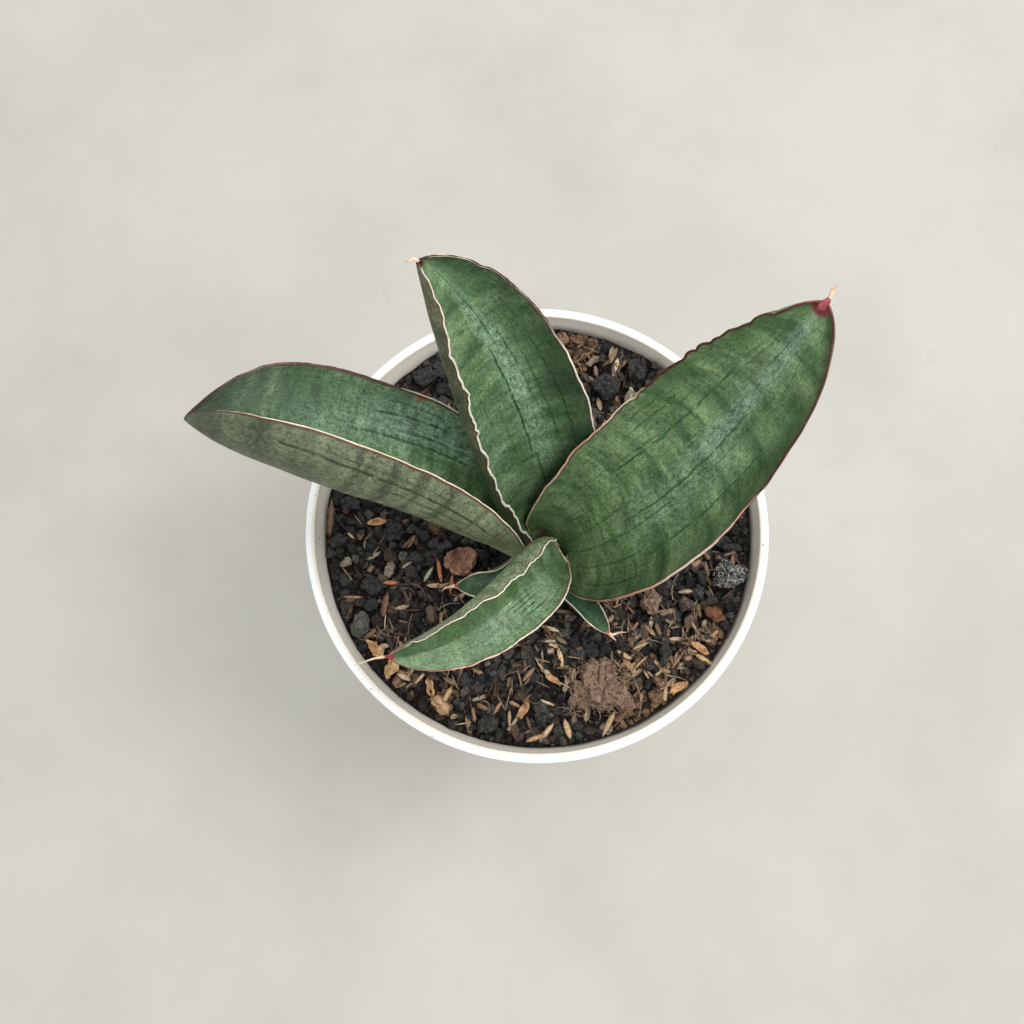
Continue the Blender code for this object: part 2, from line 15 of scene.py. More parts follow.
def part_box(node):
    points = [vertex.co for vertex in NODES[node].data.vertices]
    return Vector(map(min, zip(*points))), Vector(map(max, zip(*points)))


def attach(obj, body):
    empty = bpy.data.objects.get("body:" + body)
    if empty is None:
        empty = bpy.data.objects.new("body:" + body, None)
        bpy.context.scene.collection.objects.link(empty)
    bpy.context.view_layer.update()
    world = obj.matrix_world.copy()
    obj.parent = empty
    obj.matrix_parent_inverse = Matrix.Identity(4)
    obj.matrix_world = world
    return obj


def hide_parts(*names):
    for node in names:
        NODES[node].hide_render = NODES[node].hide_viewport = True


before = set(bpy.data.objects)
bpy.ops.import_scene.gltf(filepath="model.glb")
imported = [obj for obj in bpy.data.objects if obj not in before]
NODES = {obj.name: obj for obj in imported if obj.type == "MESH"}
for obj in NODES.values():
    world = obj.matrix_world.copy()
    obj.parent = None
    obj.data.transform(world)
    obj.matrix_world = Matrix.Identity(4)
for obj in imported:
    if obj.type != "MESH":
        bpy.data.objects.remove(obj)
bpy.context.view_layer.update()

MM = 0.001

# The pot, as in the frame.
POT_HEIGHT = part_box("pot")[1].z
RIM_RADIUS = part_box("pot")[1].x
RIM_BEAD = 1.6 * MM
RIM_SQUARE = 0.45
COLLAR_HEIGHT = 13 * MM
WALL = 1.9 * MM
TOP_WALL_RADIUS = 77.6 * MM
FOOT_RADIUS = 57 * MM
FOOT_LIFT = 3 * MM
FLOOR_TOP = 5.2 * MM
PAD_RADIUS = 10 * MM
DRAIN_HOLES = 6
DRAIN_RADIUS = 4.5 * MM
DRAIN_CIRCLE = 32 * MM
NOTCHES = 4
POT_SEGMENTS = 180

# The mix.
SOIL_LEVEL = 110.8 * MM
SOIL_ROUGHNESS = 1.6 * MM
BANK_HEIGHT = 4.6 * MM
BANK_START = 58 * MM
BANK_TURN = 20
WELL_CENTRE = (1 * MM, -9 * MM)
WELL_RADIUS = 15 * MM
WELL_SLOPE = 9 * MM
WELL_FLOOR = 105.6 * MM

# The leaves' shape, as in the frame.
BASE_HEIGHT = 110 * MM
BELOW = 13 * MM
LEAVES = {
    "leaf_front": {
        "base": (6.2 * MM, -8.6 * MM), "length": 96 * MM, "half_width": 16 * MM, "thick": 1.7 * MM,
        "turn": (213.5, 192.5, 25.5), "rise": (80, 1.5, 2.5), "roll": (-3, 49, 15.5),
        "fold": (150, 100, 52), "uneven": 0.3, "wider_right": -0.03, "bend": 0.95,
        "neck": 0.35, "widest": 0.41, "flare": 2.3, "point": (2.5, 0.68),
    },
    "leaf_right": {
        "base": (9.1 * MM, -4.1 * MM), "length": 133.5 * MM, "half_width": 31 * MM, "thick": 2.6 * MM,
        "turn": (0, 66, 1), "rise": (55.5, 47.5, 0), "roll": (-35, 25.5, 22.5),
        "fold": (80, 62, 90), "uneven": -0.17, "wider_right": -0.03, "bend": 1.05,
        "neck": 0.54, "widest": 0.4, "flare": 0.6, "point": (3.2, 0.6),
    },
    "leaf_back": {
        "base": (0.4 * MM, 0.2 * MM), "length": 135.5 * MM, "half_width": 27 * MM, "thick": 2.6 * MM,
        "turn": (108, 152.5, -3.5), "rise": (63.5, 71, -1.5), "roll": (-16, -5, 8),
        "fold": (125, 86, 75), "uneven": -0.3, "wider_right": 0.03, "bend": 1.3,
        "neck": 0.43, "widest": 0.2, "flare": 0.65, "point": (3, 0.69),
    },
    "leaf_left": {
        "base": (-7.2 * MM, -1 * MM), "length": 137.5 * MM, "half_width": 31 * MM, "thick": 2.6 * MM,
        "turn": (170, 159.5, 13), "rise": (69, 23, 5), "roll": (21, -47, -8.5),
        "fold": (91, 93, 90), "uneven": -0.3, "wider_right": 0, "bend": 0.7,
        "neck": 0.42, "widest": 0.59, "flare": 0.9, "point": (3.7, 0.72),
    },
    "small_leaf_right": {
        "base": (10.4 * MM, -20.5 * MM), "length": 25 * MM, "half_width": 6.7 * MM, "thick": 1.2 * MM,
        "turn": (288.5, 310, 14.5), "rise": (19, 23, 11), "roll": (25, -4.5, 27),
        "fold": (54, 80, 61), "uneven": -0.23, "wider_right": -0.15, "bend": 1.1,
        "neck": 0.97, "widest": 0.2, "flare": 1, "point": (1.6, 0.64),
    },
    "small_leaf_left": {
        "base": (-5.9 * MM, -11.9 * MM), "length": 28 * MM, "half_width": 7.7 * MM, "thick": 1.2 * MM,
        "turn": (217, 182, 5.5), "rise": (29.5, 35.5, -6.5), "roll": (27.5, 1.5, 21),
        "fold": (62, 80, 5), "uneven": 0.09, "wider_right": 0.04, "bend": 0.7,
        "neck": 0.94, "widest": 0.32, "flare": 1.5, "point": (1.7, 0.99),
    },
}
FOLD_LIMIT = 150
KEEL_ROUND = 0.15
TIP_HALF_WIDTH = 0.5 * MM


def paint(red, green, blue):
    """A linear colour from screen values of 0 to 255."""
    linear = []
    for value in (red, green, blue):
        share = value / 255
        linear.append(share / 12.92 if share <= 0.04045 else ((share + 0.055) / 1.055) ** 2.4)
    return (*linear, 1.0)


class Look:
    """A material being built. Each method adds nodes and returns the socket that they end in."""

    def __init__(self, name, roughness=0.6, specular=0.4):
        self.made = bpy.data.materials.new(name)
        self.made.use_nodes = True
        self.tree = self.made.node_tree
        self.shader = self.tree.nodes["Principled BSDF"]
        self.shader.inputs["Roughness"].default_value = roughness
        self.shader.inputs["Specular IOR Level"].default_value = specular

    def put(self, socket, value):
        if isinstance(value, bpy.types.NodeSocket):
            self.tree.links.new(value, socket)
        else:
            socket.default_value = value

    def node(self, kind, inputs, **settings):
        made = self.tree.nodes.new("ShaderNode" + kind)
        for key, value in settings.items():
            setattr(made, key, value)
        for key, value in inputs.items():
            self.put(made.inputs[key], value)
        return made

    def attribute(self, name, output="Fac"):
        return self.node("Attribute", {}, attribute_name=name).outputs[output]

    def place(self):
        return self.node("TexCoord", {}).outputs["Object"]

    def maths(self, operation, first, second=0.0, third=0.0):
        return self.node("Math", {0: first, 1: second, 2: third}, operation=operation).outputs[0]

    def times(self, first, second):
        return self.maths("MULTIPLY", first, second)

    def plus(self, first, second):
        return self.maths("ADD", first, second)

    def minus(self, first, second):
        return self.maths("SUBTRACT", first, second)

    def line(self, value, slope, start):
        """The value times the slope, plus the start."""
        return self.maths("MULTIPLY_ADD", value, slope, start)

    def stretch(self, vector, scale):
        return self.node("VectorMath", {0: vector, 1: scale}, operation="MULTIPLY").outputs[0]

    def clouds(self, vector, scale, detail=3.0, roughness=0.55, distortion=0.0):
        inputs = {"Vector": vector, "Scale": scale, "Detail": detail}
        inputs.update({"Roughness": roughness, "Distortion": distortion})
        return self.node("TexNoise", inputs).outputs["Fac"]

    def cells(self, vector, scale):
        return self.node("TexVoronoi", {"Vector": vector, "Scale": scale}).outputs["Distance"]

    def step(self, value, low, high):
        """0 below low, 1 above high and smooth between; low may be the larger one."""
        inputs = {"Value": value, "From Min": low, "From Max": high}
        return self.node("MapRange", inputs, interpolation_type="SMOOTHSTEP").outputs["Result"]

    def window(self, value, low, high, soft):
        rising = self.step(value, low - soft, low + soft)
        return self.times(rising, self.step(value, high + soft, high - soft))

    def ramp(self, share, stops):
        made = self.node("ValToRGB", {0: share})
        points = made.color_ramp.elements
        while len(points) < len(stops):
            points.new(0.5)
        for point, (position, colour) in zip(points, stops):
            point.position = position
            point.color = colour
        return made.outputs["Color"]

    def mix(self, share, first, second):
        """A colour that is the first at a share of 0 and the second at 1."""
        return self.node("Mix", {0: share, 6: first, 7: second}, data_type="RGBA").outputs[2]

    def shade(self, colour, value):
        """The colour made lighter or darker by a value around 1."""
        return self.node("VectorMath", {0: colour, 3: value}, operation="SCALE").outputs[0]

    def finish(self, colour, roughness=None, height=None, depth=0.0002, strength=1.0):
        self.put(self.shader.inputs["Base Color"], colour)
        if roughness is not None:
            self.put(self.shader.inputs["Roughness"], roughness)
        if height is not None:
            bump = self.node("Bump", {"Height": height, "Strength": strength, "Distance": depth})
            self.put(self.shader.inputs["Normal"], bump.outputs["Normal"])
        return self.made


def in_scene(name, data):
    """A new object made of the data, linked to the scene."""
    made = bpy.data.objects.new(name, data)
    bpy.context.scene.collection.objects.link(made)
    return made


def mesh_from(name, work):
    """A mesh of what a bmesh holds; the bmesh is freed."""
    mesh = bpy.data.meshes.new(name)
    work.to_mesh(mesh)
    work.free()
    return mesh


def apply_modifiers(made):
    """Makes the object's mesh the one that its modifiers give, and removes them."""
    graph = bpy.context.evaluated_depsgraph_get()
    mesh = bpy.data.meshes.new_from_object(made.evaluated_get(graph))
    made.modifiers.clear()
    made.data = mesh
    return mesh


def add_mesh(name, points, faces, finishes, face_finish=None):
    """A smooth mesh object from arrays of points and of equal-sided faces, linked to the scene."""
    points = np.asarray(points, np.float32)
    faces = np.asarray(faces, np.int32)
    mesh = bpy.data.meshes.new(name)
    mesh.vertices.add(len(points))
    mesh.vertices.foreach_set("co", points.ravel())
    mesh.loops.add(faces.size)
    mesh.loops.foreach_set("vertex_index", faces.ravel())
    mesh.polygons.add(len(faces))
    mesh.polygons.foreach_set("loop_start", np.arange(0, faces.size, faces.shape[1], dtype=np.int32))
    for finish in finishes:
        mesh.materials.append(finish)
    if face_finish is not None:
        mesh.polygons.foreach_set("material_index", np.asarray(face_finish, np.int32))
    mesh.update(calc_edges=True)
    mesh.shade_smooth()
    return in_scene(name, mesh)


def mark(made, name, kind, values):
    """Stores a value at every point of a mesh: kind is FLOAT, FLOAT_VECTOR or FLOAT_COLOR."""
    layer = made.data.attributes.new(name, kind, "POINT")
    key = {"FLOAT": "value", "FLOAT_VECTOR": "vector", "FLOAT_COLOR": "color"}[kind]
    layer.data.foreach_set(key, np.asarray(values, np.float32).ravel())


def belongs(made, slot, *nodes):
    """Puts a finished piece on the root body, in place of CAD nodes if any are named; slot is not used."""
    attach(made, "root")
    if nodes:
        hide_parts(*nodes)
    return made


def smooth_step(t):
    t = np.clip(t, 0, 1)
    return t * t * (3 - 2 * t)


def rough(points, size, seed=0.0, octaves=3):
    """Fractal noise at each point of an array; its largest lumps are about size across."""
    values = np.zeros(len(points))
    for k, point in enumerate(points):
        place = Vector(point) / size + Vector((seed, seed * 0.7, seed * 1.3))
        amount = 1.0
        for _ in range(octaves):
            values[k] += amount * noise.noise(place)
            place *= 2.1
            amount *= 0.5
    return values


# ---------------------------------------------------------------- pot


def inner_wall(height):
    share = (height - FLOOR_TOP) / (POT_HEIGHT - FLOOR_TOP)
    low = FOOT_RADIUS - WALL
    return low + (TOP_WALL_RADIUS - 0.4 * MM - low) * share


def rounded(profile, reach):
    """A profile whose corners are replaced by short arcs that start at most reach away."""
    made = [profile[0]]
    for before, corner, after in zip(profile, profile[1:], profile[2:]):
        a, b, c = Vector(before), Vector(corner), Vector(after)
        cut = min(reach, 0.4 * (a - b).length, 0.4 * (c - b).length)
        start = b + (a - b).normalized() * cut
        end = b + (c - b).normalized() * cut
        for k in range(5):
            t = k / 4
            point = start * (1 - t) ** 2 + b * 2 * t * (1 - t) + end * t ** 2
            made.append((point.x, point.y))
    made.append(profile[-1])
    return made


def revolve(name, profile, segments, finish):
    work = bmesh.new()
    rings = []
    for radius, height in profile:
        if radius <= 0:
            rings.append([work.verts.new((0, 0, height))])
            continue
        ring = []
        for k in range(segments):
            angle = 2 * math.pi * k / segments
            ring.append(work.verts.new((radius * math.cos(angle), radius * math.sin(angle), height)))
        rings.append(ring)
    for low, high in zip(rings, rings[1:] + rings[:1]):
        if len(low) == 1 and len(high) == 1:
            continue
        for k in range(segments):
            after = (k + 1) % segments
            if len(low) == 1:
                work.faces.new((low[0], high[k], high[after]))
            elif len(high) == 1:
                work.faces.new((low[k], high[0], low[after]))
            else:
                work.faces.new((low[k], high[k], high[after], low[after]))
    bmesh.ops.recalc_face_normals(work, faces=work.faces)
    mesh = mesh_from(name, work)
    mesh.materials.append(finish)
    return in_scene(name, mesh)


def plastic_look():
    """White plastic with dust, a faint stain above the mix, painted shade and light inside, and fine scratches.
    """
    look = Look("pot_plastic", 0.38, 0.45)
    place = look.place()
    parts = look.node("SeparateXYZ", {0: place}).outputs
    height = parts["Z"]
    # Partly painted shade: a mask that grows toward the east inner wall, which faces away from the light.
    dust_and_shade_side = look.step(look.line(parts["Y"], -0.4, parts["X"]), 10 * MM, 60 * MM)
    out = look.node("VectorMath", {0: look.stretch(place, (1, 1, 0))}, operation="LENGTH").outputs["Value"]
    patches = look.clouds(place, 45, 5, 0.6)
    colour = look.mix(look.step(patches, 0.42, 0.72), paint(248, 250, 248), paint(238, 239, 235))
    scuffs = look.clouds(look.stretch(place, (1, 1, 9)), 130, 4, 0.7, 1.5)
    colour = look.mix(look.step(scuffs, 0.66, 0.8), colour, paint(205, 202, 192))
    steep = (inner_wall(POT_HEIGHT) - inner_wall(0)) / POT_HEIGHT
    beyond = look.minus(out, look.line(height, steep, inner_wall(0)))
    inside = look.times(look.step(beyond, 1.0 * MM, 0.6 * MM), look.step(height, 60 * MM, 70 * MM))
    stain = look.clouds(place, 160, 4, 0.65, 0.8)
    line = look.plus(height, look.times(stain, 7 * MM))
    dirt_and_shade = look.times(inside, look.step(line, POT_HEIGHT - 1 * MM, POT_HEIGHT - 9 * MM))
    # The dirt grows heavier toward the east; that extra darkness also paints the shade on the east inner wall.
    dirt_and_shade = look.times(dirt_and_shade, look.line(dust_and_shade_side, 0.65, 0.08))
    colour = look.mix(look.times(inside, 0.75), colour, paint(232, 222, 204))
    colour = look.mix(dirt_and_shade, colour, paint(124, 98, 70))
    # Painted light: the inner wall toward the north is made lighter, as if more light fell on it.
    painted_light_north = look.times(inside, look.step(parts["Y"], 20 * MM, 70 * MM))
    colour = look.shade(colour, look.line(painted_light_north, 0.22, 1.0))
    specks = look.step(look.clouds(place, 900, 2, 0.5), 0.7, 0.76)
    colour = look.mix(look.times(specks, look.line(inside, 0.5, 0.5)), colour,
                      paint(70, 55, 42))
    foot = look.times(look.step(height, 14 * MM, 0), look.step(stain, 0.4, 0.7))
    colour = look.mix(look.times(foot, 0.5), colour, paint(176, 168, 150))
    dull = look.plus(look.times(patches, 0.25), look.times(inside, 0.3))
    grain = look.plus(look.clouds(place, 700, 3), look.times(scuffs, 0.6))
    return look.finish(colour, look.plus(dull, 0.22), grain, 0.00005, 0.5)


def make_pot():
    bead = POT_HEIGHT - RIM_BEAD
    middle = RIM_RADIUS - RIM_BEAD
    collar_foot = POT_HEIGHT - COLLAR_HEIGHT
    foot = [(PAD_RADIUS, 0), (PAD_RADIUS + 1.5 * MM, FOOT_LIFT), (FOOT_RADIUS - 6 * MM, FOOT_LIFT)]
    foot += [(FOOT_RADIUS - 5 * MM, 0), (FOOT_RADIUS - 1 * MM, 0), (FOOT_RADIUS, 1.2 * MM)]
    foot += [(inner_wall(collar_foot) + WALL, collar_foot - 1.5 * MM), (RIM_RADIUS - 1.9 * MM, collar_foot)]
    foot += [(RIM_RADIUS - 1.1 * MM, collar_foot + 1 * MM), (RIM_RADIUS - 0.3 * MM, bead - 4 * MM)]
    profile = [(0, 0)] + rounded(foot, 0.7 * MM)
    for step in range(25):
        angle = math.pi * step / 24
        out = math.copysign(abs(math.cos(angle)) ** RIM_SQUARE, math.cos(angle))
        profile.append((middle + RIM_BEAD * out, bead + RIM_BEAD * math.sin(angle) ** RIM_SQUARE))
    inside = [(inner_wall(height), height) for height in (bead - 3 * MM, FLOOR_TOP + 4 * MM)]
    inside += [(FOOT_RADIUS - WALL - 3 * MM, FLOOR_TOP), (PAD_RADIUS, FLOOR_TOP)]
    profile += rounded(inside, 2 * MM) + [(0, FLOOR_TOP)]
    made = revolve("pot_shell", profile, POT_SEGMENTS, plastic_look())
    tools = []
    for k in range(DRAIN_HOLES):
        angle = 2 * math.pi * (k + 0.53) / DRAIN_HOLES
        drill = [(0, -5 * MM), (DRAIN_RADIUS, -5 * MM), (DRAIN_RADIUS, 9 * MM), (0, 9 * MM)]
        tools.append(revolve("drill", drill, 32, made.data.materials[0]))
        tools[-1].location = (DRAIN_CIRCLE * math.cos(angle), DRAIN_CIRCLE * math.sin(angle), 0)
    for k in range(NOTCHES):
        angle = 2 * math.pi * (k + 0.52) / NOTCHES
        work = bmesh.new()
        bmesh.ops.create_cube(work, size=1)
        bmesh.ops.scale(work, verts=work.verts, vec=(14 * MM, 8 * MM, 5 * MM))
        tools.append(in_scene("notch", mesh_from("notch", work)))
        reach = FOOT_RADIUS - 3 * MM
        tools[-1].location = (reach * math.cos(angle), reach * math.sin(angle), 0)
        tools[-1].rotation_euler = (0, 0, angle)
    bpy.context.view_layer.update()
    for tool in tools:
        cut = made.modifiers.new("cut", "BOOLEAN")
        cut.operation = "DIFFERENCE"
        cut.object = tool
    mesh = apply_modifiers(made)
    for tool in tools:
        bpy.data.objects.remove(tool)
    mesh.shade_smooth()
    mesh.set_sharp_from_angle(angle=math.radians(35))
    belongs(made, "pot", "pot")


# ---------------------------------------------------------------- leaves


def along(values, u):
    return values[0] + (values[1] - values[0]) * u + values[2] * 4 * u * (1 - u)


def leaf_frame(leaf, u):
    """Unit vectors at u: the keel's direction, the leaf's right and its upper side."""
    turn, rise, roll = (np.radians(along(leaf[key], u)) for key in ("turn", "rise", "roll"))
    forward = np.stack((np.cos(rise) * np.cos(turn), np.cos(rise) * np.sin(turn), np.sin(rise)), -1)
    level = np.stack((np.sin(turn), -np.cos(turn), 0 * turn), -1)
    top = np.cross(level, forward)
    roll = roll[..., None]
    return forward, level * np.cos(roll) + top * np.sin(roll), top * np.cos(roll) - level * np.sin(roll)


def half_width(leaf, u):
    swell = np.sin(0.5 * np.pi * np.clip(u / leaf["widest"], 0, 1)) ** leaf["flare"]
    rising = leaf["neck"] + (1 - leaf["neck"]) * swell
    past = np.clip((u - leaf["widest"]) / (1 - leaf["widest"]), 0, 1)
    falling = (1 - past ** leaf["point"][0]) ** leaf["point"][1]
    return np.maximum(leaf["half_width"] * np.where(u < leaf["widest"], rising, falling), TIP_HALF_WIDTH)


def fold(leaf, u):
    base, middle, tip = leaf["fold"]
    low = middle + (base - middle) * (1 - smooth_step(u / 0.45))
    return np.where(u < 0.45, low, middle + (tip - middle) * smooth_step((u - 0.45) / 0.55))


def blade(leaf, u, v):
    """The leaf's middle surface at each u (base 0 to tip 1) and v (left -1 to right 1), and its thickness."""
    fine = 400
    mids = (np.arange(fine) + 0.5) / fine
    steps = leaf_frame(leaf, mids)[0] * leaf["length"] / fine
    keel = np.vstack((np.zeros(3), np.cumsum(steps, 0))) + np.array((*leaf["base"], BASE_HEIGHT))
    knots = np.linspace(0, 1, fine + 1)
    centre = np.stack([np.interp(u, knots, keel[:, k]) for k in range(3)], -1)
    _, right, up = leaf_frame(leaf, u)
    side = np.where(v >= 0, 1.0, -1.0)
    width = half_width(leaf, u)[:, None] * (1 + side * leaf["wider_right"])
    most = np.radians(np.minimum(fold(leaf, u)[:, None] * (1 + side * leaf["uneven"]), FOLD_LIMIT))
    power = leaf["bend"]
    start = KEEL_ROUND ** power
    across = np.zeros(width.shape)
    rise = np.zeros(width.shape)
    pieces = 24
    for k in range(pieces):
        share = np.abs(v) * (k + 0.5) / pieces
        turned = (share ** 2 + KEEL_ROUND ** 2) ** (power / 2) - start
        angle = most * turned / ((1 + KEEL_ROUND ** 2) ** (power / 2) - start)
        across += np.cos(angle) * np.abs(v) * width / pieces
        rise += np.sin(angle) * np.abs(v) * width / pieces
    points = centre[:, None] + (side * across)[..., None] * right[:, None] + rise[..., None] * up[:, None]
    plump = leaf["thick"] * (1 - 0.4 * u) * (0.8 + 0.2 * smooth_step(u / 0.3))
    return points, plump[:, None] * (1 - 0.65 * np.abs(v) ** 2.5)


def grid_normals(points):
    normals = np.cross(np.gradient(points, axis=1), np.gradient(points, axis=0))
    return normals / np.maximum(np.linalg.norm(normals, axis=-1, keepdims=True), 1e-12)


# How each margin looks, in mm. "edge" is its colour from base to tip as (share of the length, colour);
# "radius" its thickness; "ripple" how far it waves in and out, over "wave"; "frill" waves it up and down;
# "lobed" makes the waves scallops with sharp notches; "calm" is how far up the leaf the waves stay small;
# "papery" makes it a thin dry strip that stands up by that much.
CREAM = paint(232, 218, 196)
PINK = paint(214, 160, 140)
WHITE = paint(238, 234, 218)
BROWN = paint(70, 34, 26)
RED = paint(122, 44, 36)
TAN = paint(196, 158, 116)
MARGINS = {
    "leaf_right": (
        {"edge": ((0, CREAM), (0.3, PINK), (0.52, CREAM), (0.6, BROWN), (0.975, BROWN), (0.98, RED)),
         "radius": 0.28, "ripple": 1.05, "wave": 9, "lobed": 1, "frill": 0.6},
        {"edge": ((0, CREAM), (0.12, RED), (0.3, TAN), (0.45, CREAM), (0.62, PINK), (0.7, BROWN), (1, BROWN)),
         "radius": 0.28, "ripple": 0.4, "wave": 16, "frill": 0.3},
    ),
    "leaf_back": (
        {"edge": ((0, WHITE), (0.7, WHITE), (0.97, CREAM), (1, BROWN)),
         "radius": 0.27, "ripple": 1.3, "wave": 7, "frill": 1.0, "papery": 0.14, "calm": 0.3},
        {"edge": ((0, CREAM), (0.6, WHITE), (0.68, BROWN), (1, BROWN)),
         "radius": 0.28, "ripple": 0.6, "wave": 13, "frill": 0.5},
    ),
    "leaf_left": (
        {"edge": ((0, PINK), (0.15, CREAM), (0.88, CREAM), (0.97, BROWN)),
         "radius": 0.28, "ripple": 0.35, "wave": 12, "frill": 0.4},
        {"edge": ((0, CREAM), (0.5, CREAM), (0.57, BROWN), (1, BROWN)),
         "radius": 0.27, "ripple": 0.4, "wave": 20, "frill": 0.3},
    ),
    "leaf_front": (
        {"edge": ((0, TAN), (0.2, PINK), (0.35, CREAM), (0.6, CREAM), (0.8, PINK), (1, RED)),
         "radius": 0.3, "ripple": 0.3, "wave": 6, "frill": 0.2},
        {"edge": ((0, WHITE), (0.8, WHITE), (0.93, CREAM), (1, RED)),
         "radius": 0.23, "ripple": 0.75, "wave": 4.5, "frill": 0.5, "papery": 0.1, "calm": 0.25},
    ),
    "small_leaf_left": (
        {"edge": ((0, CREAM), (0.8, CREAM), (1, PINK)),
         "radius": 0.28, "ripple": 0.2, "wave": 5, "frill": 0.1},
        {"edge": ((0, PINK), (0.5, CREAM), (1, PINK)),
         "radius": 0.28, "ripple": 0.2, "wave": 6, "frill": 0.1},
    ),
    "small_leaf_right": 2 * (
        {"edge": ((0, CREAM), (0.8, CREAM), (1, PINK)),
         "radius": 0.25, "ripple": 0.15, "wave": 5, "frill": 0.1},
    ),
}


def wavy(distance, wave, seed):
    """An uneven wave of about one unit, over distances in millimetres."""
    values = np.zeros(len(distance))
    for k, value in enumerate(distance):
        spot = value / wave
        coarse = noise.noise(Vector((spot, seed, 0.3)))
        values[k] = coarse + 0.5 * noise.noise(Vector((2.3 * spot, seed, 4.1)))
    return values * 1.6


def kinked(distance, wave, seed):
    """A wave that runs in straight stretches between sharp bends."""
    knots = np.arange(-1, distance.max() / wave + 2)
    heights = wavy(knots * 7.3, 5, seed + 20)
    shift = 0.25 * wavy(knots * 3.1, 5, seed + 40)
    return np.interp(distance / wave, knots + shift, heights)


def margin_ripple(margin, distance, seed):
    """How far a margin stands out beyond its smooth outline, in metres."""
    waves = 0.5 * wavy(distance, margin["wave"], seed) + 0.6 * kinked(distance, margin["wave"] * 0.7, seed)
    if "lobed" in margin:
        phase = distance / margin["wave"] + 0.7 * wavy(distance, 26, seed + 5)
        waves = np.abs(np.sin(np.pi * phase)) ** 0.8 - 0.65
        waves *= 0.75 + 0.6 * wavy(distance, 17, seed + 8)
        waves *= smooth_step((distance - 55) / 25)
    if "calm" in margin:
        waves *= 0.25 + 0.75 * smooth_step((distance / distance.max() - margin["calm"]) / 0.2)
    return waves * margin["ripple"] * MM
